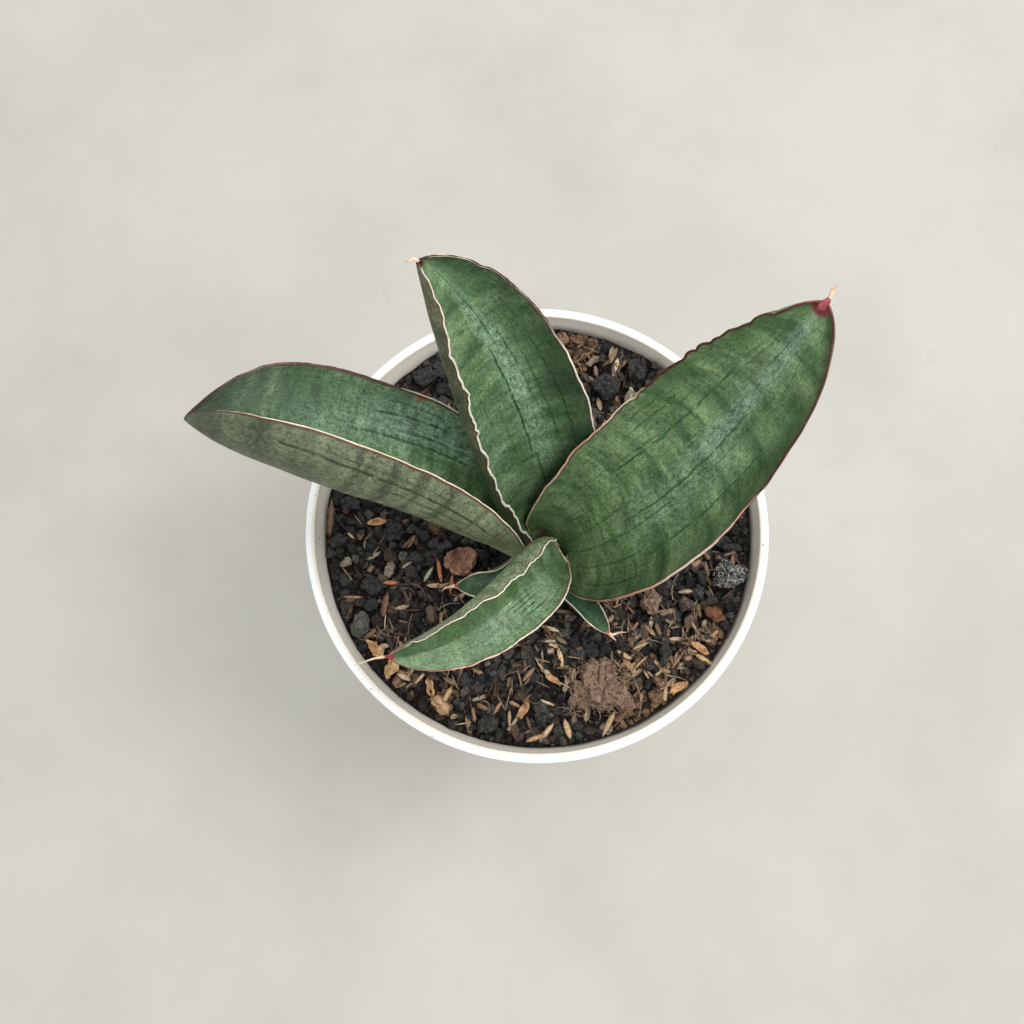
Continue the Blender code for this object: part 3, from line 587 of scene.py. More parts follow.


# The markings on each leaf, with its painted light and shade. Every place is (across, along), from -1 to 1 and
# from 0 to 1.
# "wax": (across, half its width, from, to, strength);
# "lines": (across at its start, across at its end, from, to, strength);
# "bands": (along at the middle, lean, half its width, strength);
# "blotches", on the back: (along, half its width, strength); "spots": (across, along, size in mm);
# "shaded": (across, to, along, to, softness, strength);
# "tip": how many mm from its point the leaf is dry, and its colour there;
# "glow": painted light and shade along the leaf, with its overall lightness: a factor at its base and tip for
# the upper side, then the back;
# "sides": painted shade, how much lighter or darker the leaf is made toward its left and right margins;
# "shift": moves the random mottling, so that no two leaves share it.
GREENS = {
    "leaf_right": {
        "deep": paint(54, 86, 50), "green": paint(101, 126, 84), "light": paint(126, 150, 106),
        "banding": 0.8, "blue": paint(130, 154, 136),
        "back": paint(104, 112, 82), "back_dark": paint(52, 66, 40),
        "wax": ((-0.1, 0.13, 0.55, 0.97, 0.75), (0.1, 0.32, 0.28, 0.66, 0.4), (-0.02, 0.06, 0.9, 1, 0.5)),
        "lines": ((-0.5, -0.45, 0.3, 0.78, 1), (-0.58, -0.52, 0.2, 0.5, 0.6), (-0.72, -0.7, 0.42, 0.62, 0.8),
                  (-0.62, -0.6, 0.45, 0.68, 0.7), (-0.84, -0.82, 0.44, 0.6, 0.6), (-0.4, -0.3, 0.74, 0.93, 0.6),
                  (0.04, -0.02, 0.28, 0.68, 0.9), (0.0, -0.12, 0.02, 0.26, 0.7), (0.22, 0.12, 0.05, 0.42, 0.7),
                  (0.12, 0.1, 0.55, 0.75, 0.5), (0.52, 0.42, 0.3, 0.68, 0.9), (0.48, 0.46, 0.05, 0.28, 0.7),
                  (0.76, 0.74, 0.08, 0.28, 0.8), (0.6, 0.6, 0.6, 0.75, 0.5), (-0.3, -0.25, 0.05, 0.2, 0.5),
                  (-0.5, -0.38, 0.76, 0.92, 0.6), (-0.2, -0.12, 0.8, 0.93, 0.5), (0.2, 0.14, 0.78, 0.92, 0.7)),
        "bands": ((0.7, 0.05, 0.05, 0.5), (0.44, 0.08, 0.02, 0.25), (0.83, -0.05, 0.03, 0.35),
                  (0.55, 0.1, 0.03, 0.2)),
        "blotches": ((0.3, 0.02, 0.5), (0.45, 0.02, 0.5), (0.6, 0.02, 0.5), (0.75, 0.02, 0.5),
                     (0.9, 0.02, 0.5)),
        "spots": (), "shaded": (-1.2, 1.2, -0.2, 0.04, 0.12, 0.5), "tip": (3.8, paint(132, 62, 62)),
        "tone_and_painted_light": ((1.2, 1.22), (0.95, 0.9)), "shift": 0, "sides": (0.9, 0.6),
    },
    "leaf_back": {
        "deep": paint(44, 78, 46), "green": paint(98, 126, 84), "light": paint(126, 152, 110), "banding": 0.6,
        "blue": paint(142, 168, 142), "back": paint(92, 95, 72), "back_dark": paint(46, 54, 36),
        "wax": ((0.3, 0.16, 0.25, 0.78, 0.7), (0.25, 0.12, 0.7, 0.92, 0.45), (-0.3, 0.2, 0.25, 0.6, 0.25)),
        "lines": ((0.18, 0.2, 0.3, 0.68, 1), (0.25, 0.22, 0.05, 0.3, 0.8), (0.3, 0.27, 0.68, 0.95, 0.7),
                  (0.42, 0.4, 0.45, 0.7, 0.7), (0.55, 0.52, 0.3, 0.62, 0.7), (0.74, 0.7, 0.32, 0.66, 0.9),
                  (0.0, -0.05, 0.3, 0.5, 0.4), (-0.2, -0.2, 0.45, 0.6, 0.4)),
        "bands": ((0.56, 0.04, 0.02, 0.5), (0.64, 0.02, 0.02, 0.5), (0.45, 0.03, 0.025, 0.5),
                  (0.88, 0.1, 0.06, 0.5), (0.74, 0.04, 0.02, 0.25), (0.2, 0.05, 0.05, 0.35),
                  (0.33, 0.02, 0.02, 0.3)),
        "blotches": ((0.25, 0.02, 0.5), (0.4, 0.02, 0.5), (0.52, 0.02, 0.5), (0.68, 0.02, 0.5),
                     (0.85, 0.02, 0.5)),
        "spots": (), "shaded": (0.55, 1.2, 0.2, 1.2, 0.15, 0.5), "tip": (1.3, paint(84, 58, 44)),
        "tone_and_painted_light": ((0.85, 1.1), (0.9, 0.9)), "shift": 800, "sides": (1.0, 0.68),
    },
    "leaf_left": {
        "deep": paint(44, 78, 48), "green": paint(92, 120, 82), "light": paint(116, 142, 106), "banding": 0.6,
        "blue": paint(142, 166, 152), "back": paint(101, 110, 84), "back_dark": paint(48, 58, 38),
        "wax": ((0.7, 0.2, 0.26, 0.62, 0.6), (0.5, 0.15, 0.5, 0.8, 0.25), (0.9, 0.08, 0.26, 0.5, 0.4)),
        "lines": ((0.52, 0.5, 0.3, 0.66, 0.8), (0.62, 0.6, 0.25, 0.5, 0.6), (0.76, 0.72, 0.4, 0.6, 0.8),
                  (0.86, 0.86, 0.42, 0.58, 0.5), (0.9, 0.9, 0.55, 0.75, 0.4), (0.4, 0.42, 0.2, 0.45, 0.4),
                  (-0.78, -0.8, 0.35, 0.88, 0.9), (-0.7, -0.7, 0.45, 0.66, 0.6),
                  (-0.86, -0.86, 0.5, 0.8, 0.5), (-0.6, -0.62, 0.3, 0.56, 0.7), (-0.5, -0.5, 0.4, 0.6, 0.5)),
        "bands": ((0.88, 0, 0.025, 0.6), (0.79, 0, 0.02, 0.35), (0.97, 0, 0.03, 0.5),
                  (0.6, -0.02, 0.008, 0.4), (0.53, 0, 0.02, 0.25), (0.68, 0.02, 0.02, 0.2)),
        "blotches": ((0.5, 0.014, 0.85), (0.575, 0.012, 0.8), (0.635, 0.018, 0.95), (0.7, 0.014, 0.9),
                     (0.86, 0.012, 0.6), (0.4, 0.012, 0.5), (0.93, 0.012, 0.5), (0.28, 0.012, 0.4)),
        "spots": ((0.995, 0.505, 1.7),), "shaded": (0.1, 1.2, -0.2, 0.17, 0.1, 0.95),
        "tip": (1.6, paint(64, 44, 34)),
        "tone_and_painted_light": ((2.5, 0.35), (1.4, 0.6)), "shift": 1600, "sides": (1.0, 1.0),
    },
    "leaf_front": {
        "deep": paint(58, 94, 46), "green": paint(108, 136, 96), "light": paint(132, 156, 118),
        "banding": 0.45, "blue": paint(168, 188, 166),
        "back": paint(134, 148, 114), "back_dark": paint(80, 94, 60),
        "wax": ((-0.55, 0.3, 0.3, 0.75, 0.35),),
        "lines": ((-0.72, -0.68, 0.42, 0.55, 1), (-0.6, -0.56, 0.42, 0.55, 1), (-0.5, -0.46, 0.43, 0.56, 1),
                  (-0.4, -0.38, 0.42, 0.58, 0.9), (-0.3, -0.3, 0.44, 0.53, 0.7),
                  (-0.85, -0.8, 0.3, 0.42, 0.5)),
        "bands": ((0.72, 0, 0.02, 0.15), (0.25, 0, 0.06, 0.4)),
        "blotches": ((0.3, 0.02, 0.6), (0.42, 0.02, 0.6), (0.55, 0.02, 0.6), (0.7, 0.015, 0.5)),
        "spots": (), "shaded": (-0.27, 0.85, 0.45, 1.1, 0.02, 0.75), "tip": (1.8, paint(150, 52, 50)),
        "tone_and_painted_light": ((0.85, 0.8), (0.8, 0.8)), "shift": 2400, "sides": (1.05, 0.9),
    },
    "small_leaf_left": {
        "deep": paint(30, 62, 36), "green": paint(58, 92, 60), "light": paint(80, 112, 80), "banding": 0.5,
        "blue": paint(110, 138, 118), "back": paint(110, 112, 84), "back_dark": paint(52, 62, 42),
        "wax": ((0, 0.2, 0.3, 0.8, 0.3),), "lines": ((0.3, 0.3, 0.3, 0.8, 0.6), (-0.3, -0.3, 0.2, 0.7, 0.6)),
        "bands": ((0.5, 0, 0.1, 0.3),), "blotches": ((0.4, 0.05, 0.5),), "spots": (), "shaded": None,
        "tip": (1.2, paint(170, 90, 80)),
        "tone_and_painted_light": ((0.95, 0.95), (0.9, 0.9)), "shift": 3200, "sides": (1.0, 1.0),
    },
}
GREENS["small_leaf_right"] = GREENS["small_leaf_left"]


def line_mark(look, across, up, facts):
    """A thin dark line along the leaf, with breaks in it."""
    start, end, low, high, strength = facts
    slope = (end - start) / (high - low)
    lean = look.line(up, slope, start - low * slope)
    off = look.maths("ABSOLUTE", look.minus(across, lean))
    near = look.step(off, 0.019, 0.008)
    inside = look.window(up, low, high, 0.03)
    return look.times(look.times(near, inside), strength)


def leaf_look(name, leaf, facts, inner):
    """The skin of one side of a leaf: bands, mottling, dark lines, a waxy bloom and a red-brown edge."""
    look = Look(name, 0.5, 0.32)
    across = look.attribute("across")
    up = look.attribute("along")
    spread = look.attribute("blade", "Vector")
    place = look.node("VectorMath", {0: spread, 1: (0, facts["shift"], 0)}, operation="ADD").outputs[0]
    wobble = look.times(look.minus(look.clouds(place, 0.11, 2), 0.5), 0.05)
    across_wavy = look.plus(across, wobble)
    uneven = look.clouds(place, 0.06, 3, 0.5, 0.3)
    ribs = look.clouds(look.stretch(place, (1.1, 0.05, 1)), 1, 3, 0.6)
    mottle = look.clouds(look.stretch(place, (1, 0.7, 1)), 0.7, 5, 0.75)
    fine = look.clouds(look.stretch(place, (1, 0.6, 1)), 2.1, 3, 0.6)
    cross = look.clouds(look.stretch(place, (0.025, 0.17, 1)), 1, 4, 0.6, 0.5)
    cross_fine = look.clouds(look.stretch(place, (0.1, 0.7, 1)), 1, 3, 0.6, 0.4)
    if inner:
        colour = look.mix(look.step(uneven, 0.35, 0.65), facts["green"], facts["light"])
        dark = facts["deep"]
        colour = look.mix(look.times(look.step(cross, 0.42, 0.7), facts["banding"]), colour, dark)
        patches = look.clouds(look.stretch(place, (0.06, 0.13, 1)), 1, 3, 0.6, 0.5)
        colour = look.mix(look.times(look.step(patches, 0.48, 0.62), 0.4), colour, dark)
        colour = look.mix(look.times(look.step(cross_fine, 0.45, 0.8), 0.22), colour, dark)
    else:
        colour = look.mix(look.step(uneven, 0.35, 0.65), facts["back"], look_lighter(facts["back"], 1.25))
        dark = facts["back_dark"]
        jagged = look.clouds(look.stretch(place, (0.22, 0.5, 1)), 1, 5, 0.7, 0.6)
        blotch = look.times(look.step(cross, 0.53, 0.6), look.step(jagged, 0.46, 0.62))
        colour = look.mix(look.times(blotch, 0.45), colour, dark)
        colour = look.mix(look.times(look.step(cross_fine, 0.45, 0.8), 0.2), colour, dark)
        for middle, half, strength in facts["blotches"]:
            level = look.plus(up, look.times(look.minus(jagged, 0.5), 0.06))
            level = look.plus(level, look.times(across, 0.03))
            band = look.step(look.maths("ABSOLUTE", look.minus(level, middle)), half, half * 0.2)
            band = look.times(band, look.step(mottle, 0.38, 0.56))
            colour = look.mix(look.times(band, strength), colour, dark)
    lean = look.times(look.minus(look.clouds(place, 0.09, 3), 0.5), 0.07)
    for middle, slope, half, strength in facts["bands"] if inner else ():
        level = look.line(across, -slope, look.plus(up, lean))
        off = look.maths("ABSOLUTE", look.minus(level, middle))
        band = look.times(look.step(off, half * 1.7, half * 0.3), look.step(mottle, 0.3, 0.6))
        colour = look.mix(look.times(band, strength), colour, dark)
    if inner and facts["shaded"]:
        side, far, low, high, soft, strength = facts["shaded"]
        zone = look.times(look.window(across_wavy, side, far, soft), look.window(up, low, high, 0.12))
        colour = look.mix(look.times(zone, strength), colour, dark)
    if inner:
        frost = look.line(ribs, 0.3, look.times(mottle, 0.7))
        bloom = look.step(frost, 0.3, 0.62)
        for middle, half, low, high, strength in facts["wax"]:
            off = look.maths("ABSOLUTE", look.minus(across_wavy, middle))
            zone = look.times(look.step(off, half * 1.5, half * 0.2), look.window(up, low, high, 0.09))
            share = look.times(look.times(zone, bloom), strength)
            colour = look.mix(share, colour, facts["blue"])
    marks = None
    for line in facts["lines"]:
        single = line_mark(look, across_wavy, up, line)
        marks = single if marks is None else look.maths("MAXIMUM", marks, single)
    hair = look.step(look.clouds(look.stretch(place, (0.9, 0.035, 1)), 1, 1, 0.4), 0.62, 0.7)
    marks = look.maths("MAXIMUM", marks, look.times(hair, 0.22))
    broken = look.step(look.clouds(look.stretch(place, (0.5, 0.3, 1)), 1, 3), 0.3, 0.5)
    marks = look.times(marks, broken)
    colour = look.mix(marks, colour, dark)
    clumps = look.clouds(look.stretch(place, (0.45, 1, 1)), 0.16, 4, 0.6, 0.4)
    colour = look.shade(colour, look.line(clumps, 1.7, 0.15))
    # Painted shade: the leaf is made darker toward a margin where that half of it faces away from the light.
    left_painted_shade, right_painted_shade = facts["sides"]
    colour = look.shade(colour, look.line(look.step(across, -0.2, -1.0), left_painted_shade - 1, 1.0))
    colour = look.shade(colour, look.line(look.step(across, 0.2, 1.0), right_painted_shade - 1, 1.0))
    grain = look.line(mottle, 2.6, look.line(fine, 2.6, -1.6))
    colour = look.shade(colour, grain)
    # Painted light and shade: the leaf is made lighter or darker from base to tip, as light falls more or less
    # on it.
    base_tone_and_light, tip_tone_and_light = facts["tone_and_painted_light"][0 if inner else 1]
    colour = look.shade(colour, look.line(up, tip_tone_and_light - base_tone_and_light, base_tone_and_light))
    colour = look.shade(colour, look.line(ribs, 0.5, 0.75))
    flecks = look.times(look.step(look.clouds(place, 5.5, 1), 0.71, 0.76), look.step(uneven, 0.4, 0.6))
    colour = look.mix(look.times(flecks, 0.45), colour, paint(206, 216, 200))
    for spot_across, spot_up, size in facts["spots"] if inner else ():
        spot = (spot_across * leaf["half_width"] / MM, spot_up * leaf["length"] / MM, 0)
        away = look.node("VectorMath", {0: spread, 1: spot}, operation="DISTANCE").outputs["Value"]
        away = look.plus(away, look.times(mottle, 1.6))
        colour = look.mix(look.step(away, size + 1.2, size + 0.3), colour, paint(186, 92, 48))
    edge = look.maths("ABSOLUTE", across)
    colour = look.mix(look.times(look.step(edge, 0.968, 0.988), 0.85), colour, paint(86, 44, 32))
    reach, burnt = facts["tip"]
    ending = look.line(look.minus(mottle, 0.5), 3.0, look.attribute("ending"))
    colour = look.mix(look.step(ending, reach * 1.15, reach * 0.75), colour, burnt)
    soil = look.plus(up, look.times(mottle, 0.05))
    colour = look.mix(look.step(soil, 0.035, -0.03), colour, paint(120, 104, 70))
    gloss = look.line(mottle, 0.3, 0.34)
    height = look.plus(look.times(ribs, 1.6), look.times(fine, 0.35))
    return look.finish(colour, gloss, height, 0.00022, 0.6)


def look_lighter(colour, by):
    return (*(channel * by for channel in colour[:3]), 1.0)


def edge_look(name, stops):
    """A dry leaf margin whose colour changes from base to tip, streaked and nicked."""
    look = Look(name, 0.62, 0.3)
    up = look.attribute("along")
    place = look.place()
    shift = look.times(look.minus(look.clouds(place, 260, 3), 0.5), 0.14)
    colour = look.ramp(look.plus(up, shift), stops)
    streaks = look.clouds(place, 1100, 3, 0.6)
    colour = look.mix(look.times(look.step(streaks, 0.52, 0.7), 0.35), colour, paint(140, 92, 70))
    return look.finish(colour, None, streaks, 0.0001, 0.6)


def strand(path, sides_way, radii, flat=1.0, sides=8):
    """Points and faces of a closed tube; sides_way is the direction of its wide axis at each point."""
    path = np.asarray(path)
    ahead = np.gradient(path, axis=0)
    ahead /= np.maximum(np.linalg.norm(ahead, axis=1, keepdims=True), 1e-12)
    wide = sides_way - (sides_way * ahead).sum(1, keepdims=True) * ahead
    wide /= np.maximum(np.linalg.norm(wide, axis=1, keepdims=True), 1e-12)
    thin = np.cross(ahead, wide)
    angles = 2 * np.pi * np.arange(sides) / sides
    ring = wide[:, None] * np.cos(angles)[:, None] + flat * thin[:, None] * np.sin(angles)[:, None]
    points = path[:, None] + ring * np.asarray(radii)[:, None, None]
    count = len(path)
    start, end = path[:1] - ahead[:1] * radii[0], path[-1:] + ahead[-1:] * radii[-1]
    points = np.vstack((points.reshape(-1, 3), start, end))
    faces = []
    for i in range(count - 1):
        for k in range(sides):
            after = (k + 1) % sides
            faces.append((i * sides + k, i * sides + after, (i + 1) * sides + after, (i + 1) * sides + k))
    low, high = count * sides, count * sides + 1
    last = (count - 1) * sides
    for k in range(sides):
        after = (k + 1) % sides
        faces.append((low, after, k, k))
        faces.append((high, last + k, last + after, last + after))
    return points, faces


def add_tube(name, points, faces, finish):
    """A smooth mesh object whose triangles are written as quads that repeat a corner."""
    work = bmesh.new()
    verts = [work.verts.new(point) for point in points]
    for face in faces:
        work.faces.new([verts[k] for k in dict.fromkeys(face)])
    mesh = mesh_from(name, work)
    mesh.materials.append(finish)
    mesh.shade_smooth()
    return in_scene(name, mesh)


def add_cord(name, part, path, wide_way, radii, flat, spots, finish):
    """A cord along a leaf's margin; spots say how far up the leaf each of its points is."""
    cord = add_tube(name + "_" + part, *strand(path, wide_way, radii, flat), finish)
    mark(cord, "along", "FLOAT", np.concatenate((np.repeat(spots, 8), spots[:1], spots[-1:])))
    belongs(cord, name)


def mark_skin(made, leaf, across, up, ending):
    """Stores where on the leaf each point of both faces lies, and how far it is from the tip in mm."""
    spread = np.stack((across * leaf["half_width"] / MM, up * leaf["length"] / MM, 0 * up), -1)
    for key, kind, values in (("across", "FLOAT", across), ("along", "FLOAT", up),
                              ("blade", "FLOAT_VECTOR", spread), ("ending", "FLOAT", ending)):
        mark(made, key, kind, np.concatenate((values, values)))


def quads(first, second, third, fourth):
    """Faces whose corners are the matching members of four arrays of point numbers."""
    return np.stack((first, second, third, fourth), -1).reshape(-1, 4)


# How many rows of each blade's points lie below its own base, in the mix.
BURIED_ROWS = 9


def make_blade(name, leaf):
    """One leaf: two skins that close round its margin, down into the mix, and a cord on each margin."""
    small = name.startswith("small")
    rows, columns = (70, 33) if small else (190, 61)
    margins = MARGINS[name]
    u = 1 - (1 - np.linspace(0, 1, rows)) ** 1.6
    half = (columns - 1) // 2
    v = np.linspace(-1, 1, columns)
    v = np.sign(v) * (1 - (1 - np.abs(v)) ** 1.15)
    fade = smooth_step((u - 0.08) / 0.14)
    points, thickness = blade(leaf, u, v[None, :])
    normals = grid_normals(points)
    swell = np.zeros((rows, columns))
    sway = np.zeros((rows, columns, 3))
    for side, margin in enumerate(margins):
        column = points[:, -1 if side else 0]
        ahead = np.gradient(column, axis=0)
        ahead /= np.maximum(np.linalg.norm(ahead, axis=1, keepdims=True), 1e-9)
        outward = np.cross(ahead, normals[:, -1 if side else 0]) * (1 if side else -1)
        strides = np.linalg.norm(np.diff(column, axis=0), axis=1)
        distance = np.concatenate(((0,), np.cumsum(strides))) / MM
        calm = fade * smooth_step((distance[-1] - distance - 1.5) / 4)
        wave = margin_ripple(margin, distance, 3.7 * side + len(name)) * calm
        frill = wavy(distance, margin["wave"] * 0.8, 9.1 * side + 2) * margin["frill"] * MM * calm
        part = slice(side * half, side * half + half + 1)
        sway[:, part] = outward[:, None] * (wave[:, None] * np.abs(v[part]) ** 6)[..., None]
        swell[:, part] = (frill - 0.9 * margin.get("lobed", 0) * wave)[:, None] * np.abs(v[part]) ** 6
    gentle = (0.25 if small else 0.55) * MM * fade * smooth_step((1 - u) / 0.06)
    flow = rough(points.reshape(-1, 3), 22 * MM, 5.0, 2).reshape(rows, columns)
    points = points + sway + normals * (swell + gentle[:, None] * flow * (1 - 0.5 * np.abs(v)))[..., None]
    base = points[0]
    middle = base.mean(0)
    inward = (np.array((*WELL_CENTRE, 0)) - middle) * np.array((1, 1, 0))
    lower_rows = []
    for k in range(BURIED_ROWS, 0, -1):
        share = k / BURIED_ROWS
        row = base + (middle - base) * 0.25 * share
        row = row + np.array((0, 0, -1.0)) * BELOW * share * (0.6 if small else 1)
        lower_rows.append(row + inward * 0.15 * share)
    points = np.concatenate((np.array(lower_rows), points))
    thickness = np.concatenate((np.repeat(thickness[:1], BURIED_ROWS, 0), thickness))
    below = -np.arange(BURIED_ROWS, 0, -1) / BURIED_ROWS * BELOW / leaf["length"]
    u_all = np.concatenate((below, u))
    rows += BURIED_ROWS
    normals = grid_normals(points)
    upper = points + normals * thickness[..., None] / 2
    lower = points - normals * thickness[..., None] / 2
    index = np.arange(rows * columns).reshape(rows, columns)
    other = index + rows * columns
    inner = quads(index[:-1, :-1], index[:-1, 1:], index[1:, 1:], index[1:, :-1])
    outer = quads(other[:-1, :-1], other[1:, :-1], other[1:, 1:], other[:-1, 1:])
    left = quads(index[:-1, 0], index[1:, 0], other[1:, 0], other[:-1, 0])
    right = quads(index[1:, -1], index[:-1, -1], other[:-1, -1], other[1:, -1])
    foot = quads(index[0, 1:], index[0, :-1], other[0, :-1], other[0, 1:])
    tip = quads(index[-1, :-1], index[-1, 1:], other[-1, 1:], other[-1, :-1])
    faces = np.concatenate((inner, outer, left, right, foot, tip))
    kinds = np.full(len(faces), 2)
    kinds[:2 * len(inner)] = np.repeat((0, 1), len(inner))
    facts = GREENS[name]
    finishes = [leaf_look(name + "_inner", leaf, facts, True), leaf_look(name + "_outer", leaf, facts, False),
                edge_look(name + "_rim", margins[0]["edge"])]
    made = add_mesh(name + "_blade", np.concatenate((upper.reshape(-1, 3), lower.reshape(-1, 3))), faces,
                    finishes, kinds)
    ending = np.linalg.norm(points - points[-1].mean(0), axis=-1) / MM
    mark_skin(made, leaf, np.broadcast_to(v, (rows, columns)),
              np.broadcast_to(u_all[:, None], (rows, columns)), ending)
    belongs(made, name, name)
    for side, margin in enumerate(margins):
        column = points[:, -1 if side else 0]
        beside = points[:, -4 if side else 3]
        outward = column - beside
        outward /= np.linalg.norm(outward, axis=1, keepdims=True)
        face_up = normals[:, -1 if side else 0]
        keep = slice(BURIED_ROWS - 4, None)
        spots = u_all[keep]
        grow = 1 + 0.35 * wavy(spots * leaf["length"] / MM, 3.1, side + 6)
        radii = margin["radius"] * MM * np.clip(grow, 0.55, 1.7)
        radii = radii * (0.65 + 0.35 * smooth_step((1 - spots) / 0.25))
        path = column[keep]
        flat = 0.8
        if "papery" in margin:
            stand = margin["papery"] * MM * (1 + 0.8 * wavy(spots * leaf["length"] / MM, 5, side + 1))
            stand = np.clip(stand, 0, None) * smooth_step((1 - spots) / 0.08)
            path = path + outward[keep] * (0.5 * stand)[:, None]
            radii = radii * 0.75 + 0.45 * stand
            flat = 0.42
        finish = edge_look(name + "_edge_%d" % side, margin["edge"])
        add_cord(name, ("margin_left", "margin_right")[side], path, outward[keep], radii, flat, spots, finish)
    return points, normals, made


def make_torn_sheath(name, leaf):
    """The leaf's own base skin where its margins overlap: a lid over the throat, dry and torn above."""
    rows, columns = 12, 25
    shares = np.linspace(0, 1, columns)
    low_u, high_u = 0.17, 0.31
    start, end = (blade(leaf, np.array([low_u]), np.array([[v]]))[0][0, 0] for v in (0.9, -0.98))
    edge = start + (end - start) * shares[:, None]
    torn = wavy(shares * 14, 2.2, 3.0)
    edge[:, 2] += (0.6 * torn - 1.2 * np.sin(np.pi * shares)) * MM
    inner = blade(leaf, np.array([high_u]), np.linspace(0.9, -0.98, columns)[None])[0][0]
    inner = inner + leaf_frame(leaf, np.array([high_u]))[2] * leaf["thick"] * 0.5
    steps = np.linspace(0, 1, rows)[:, None, None]
    grid = edge * (1 - steps) + inner * steps
    flat = np.concatenate((grid.reshape(-1, 3), grid.reshape(-1, 3) - np.array((0, 0, 0.3 * MM))))
    index = np.arange(2 * rows * columns).reshape(2, rows, columns)
    faces = []
    for part, flip in ((index[0], True), (index[1], False)):
        side = quads(part[:-1, :-1], part[:-1, 1:], part[1:, 1:], part[1:, :-1])
        faces.append(side[:, ::-1] if flip else side)
    border = np.concatenate((index[:, 0, :-1].T, index[:, :-1, -1].T,
                             index[:, -1, :0:-1].T, index[:, :0:-1, 0].T))
    after = np.roll(border, -1, 0)
    faces.append(quads(border[:, 0], after[:, 0], after[:, 1], border[:, 1]))
    skin = leaf_look(name + "_sheath", leaf, GREENS[name], True)
    made = add_mesh(name + "_torn_sheath", flat, np.concatenate(faces), [skin])
    across = np.broadcast_to(np.linspace(0.85, -0.85, columns), (rows, columns))
    up = np.broadcast_to(np.linspace(low_u, high_u, rows)[:, None], (rows, columns))
    mark_skin(made, leaf, across, up, 50 + 0 * up)
    belongs(made, name)
    thick = np.clip((0.36 + 0.16 * wavy(shares * 14, 1.3, 8.0)) * MM, 0.2 * MM, 1)
    colours = ((0, paint(150, 130, 96)), (0.5, paint(176, 152, 118)), (1, CREAM))
    finish = edge_look(name + "_torn_edge", colours)
    add_cord(name, "torn_edge", edge, np.repeat([[0.6, 0.8, 0.3]], columns, 0), thick, 0.6, shares, finish)


# What stands at each leaf's tip: the red cusp, then dry threads, each a list of offsets from the tip in mm.
TIPS = {
    "leaf_right": {"cusp": (4.4, 2.1), "threads": (((0.6, 0.9, 0.2), (1.2, 2.2, 0.6), (2.2, 3.8, 0.5)),
                                                   ((0.3, 1.0, 0.3), (0.4, 2.0, 0.8), (1.0, 2.9, 1.2)))},
    "leaf_back": {"cusp": (1.6, 0.9), "threads": (((-1.0, 0.2, 0.6), (-2.2, -0.4, 0.6), (-3.2, -0.2, -0.2),
                                                   (-3.0, 0.6, -0.8)),)},
    "leaf_left": {"cusp": (1.0, 0.9), "threads": ()},
    "leaf_front": {"cusp": (3.2, 1.3), "threads": (((-2.6, -0.4, 0.1), (-5.2, -1.2, -0.2),
                                                    (-8.6, -2.4, -1.2)),)},
    "small_leaf_left": {"cusp": (1.3, 0.8), "threads": (((-1.6, -0.3, 0.1), (-3.0, -0.6, -0.2),
                                                         (-4.0, -1.6, -0.8)),
                                                        ((-1.4, -0.4, 0.2), (-2.6, -0.9, 0.2)))},
    "small_leaf_right": {"cusp": (1.2, 0.7), "threads": (((0.9, -1.0, -0.1), (2.2, -2.2, -0.6)),
                                                         ((1.2, -0.3, 0.1), (3.4, 0.6, 0.2),
                                                          (5.6, 0.5, 0.1)))},
}


def dry_look(name, first, second, size=300):
    """Dry plant matter: fibres of two colours along the piece."""
    look = Look(name, 0.75, 0.2)
    place = look.place()
    fibres = look.clouds(look.stretch(place, (1, 1, 0.4)), size, 5, 0.65, 1.2)
    colour = look.mix(look.step(fibres, 0.35, 0.65), first, second)
    pits = look.clouds(place, size * 4, 3)
    return look.finish(look.shade(colour, look.plus(pits, 0.5)), None, fibres, 0.0003, 0.7)


def make_tip(name, points, normals):
    facts = TIPS[name]
    tip = points[-1].mean(0)
    forward = tip - points[-6].mean(0)
    forward /= np.linalg.norm(forward)
    over = points[-1][-1] - points[-1][0]
    over /= np.linalg.norm(over)
    length, radius = (value * MM for value in facts["cusp"])
    shares = np.linspace(0, 1, 12)
    path = tip + forward * (length * (shares - 0.45))[:, None]
    cusp_radii = radius * (1 - 0.82 * shares) * (0.6 + 0.4 * smooth_step(shares / 0.3))
    cusp_points, cusp_faces = strand(path, np.repeat(over[None], 12, 0), cusp_radii, 0.38, 10)
    cusp_points = cusp_points + (0.25 * MM * rough(cusp_points, 0.9 * MM, len(name), 2))[:, None]
    brown = name in ("leaf_left", "leaf_back")
    colours = (paint(58, 34, 26), paint(96, 62, 44)) if brown else (paint(112, 42, 48), paint(164, 86, 84))
    belongs(add_tube(name + "_cusp", cusp_points, cusp_faces, dry_look(name + "_cusp", *colours)), name)
    for number, offsets in enumerate(facts["threads"]):
        start = path[-1] - forward * 0.4 * MM
        knots = np.array([(0, 0, 0), *offsets]) * MM
        spots = np.linspace(0, len(knots) - 1, 5 * len(knots))
        line = np.stack([np.interp(spots, range(len(knots)), knots[:, k]) for k in range(3)], -1)
        for _ in range(3):
            line[1:-1] = (line[:-2] + 2 * line[1:-1] + line[2:]) / 4
        thick = np.linspace(0.62, 0.12, len(spots)) * MM
        thread = strand(start + line, np.repeat(over[None], len(spots), 0), thick, 0.6, 6)
        finish = dry_look("%s_thread_%d" % (name, number), paint(210, 172, 136), paint(232, 212, 186))
        belongs(add_tube("%s_thread_%d" % (name, number), *thread, finish), name)


# ---------------------------------------------------------------- mix


def bank_at(x, y):
    """How much higher the mix lies against the wall of the pot; none on the west side."""
    out = smooth_step((math.hypot(x, y) - BANK_START) / (inner_wall(SOIL_LEVEL) - BANK_START))
    facing = math.cos(math.atan2(y, x) - math.radians(BANK_TURN))
    return float(BANK_HEIGHT * out * smooth_step(facing + 0.75))


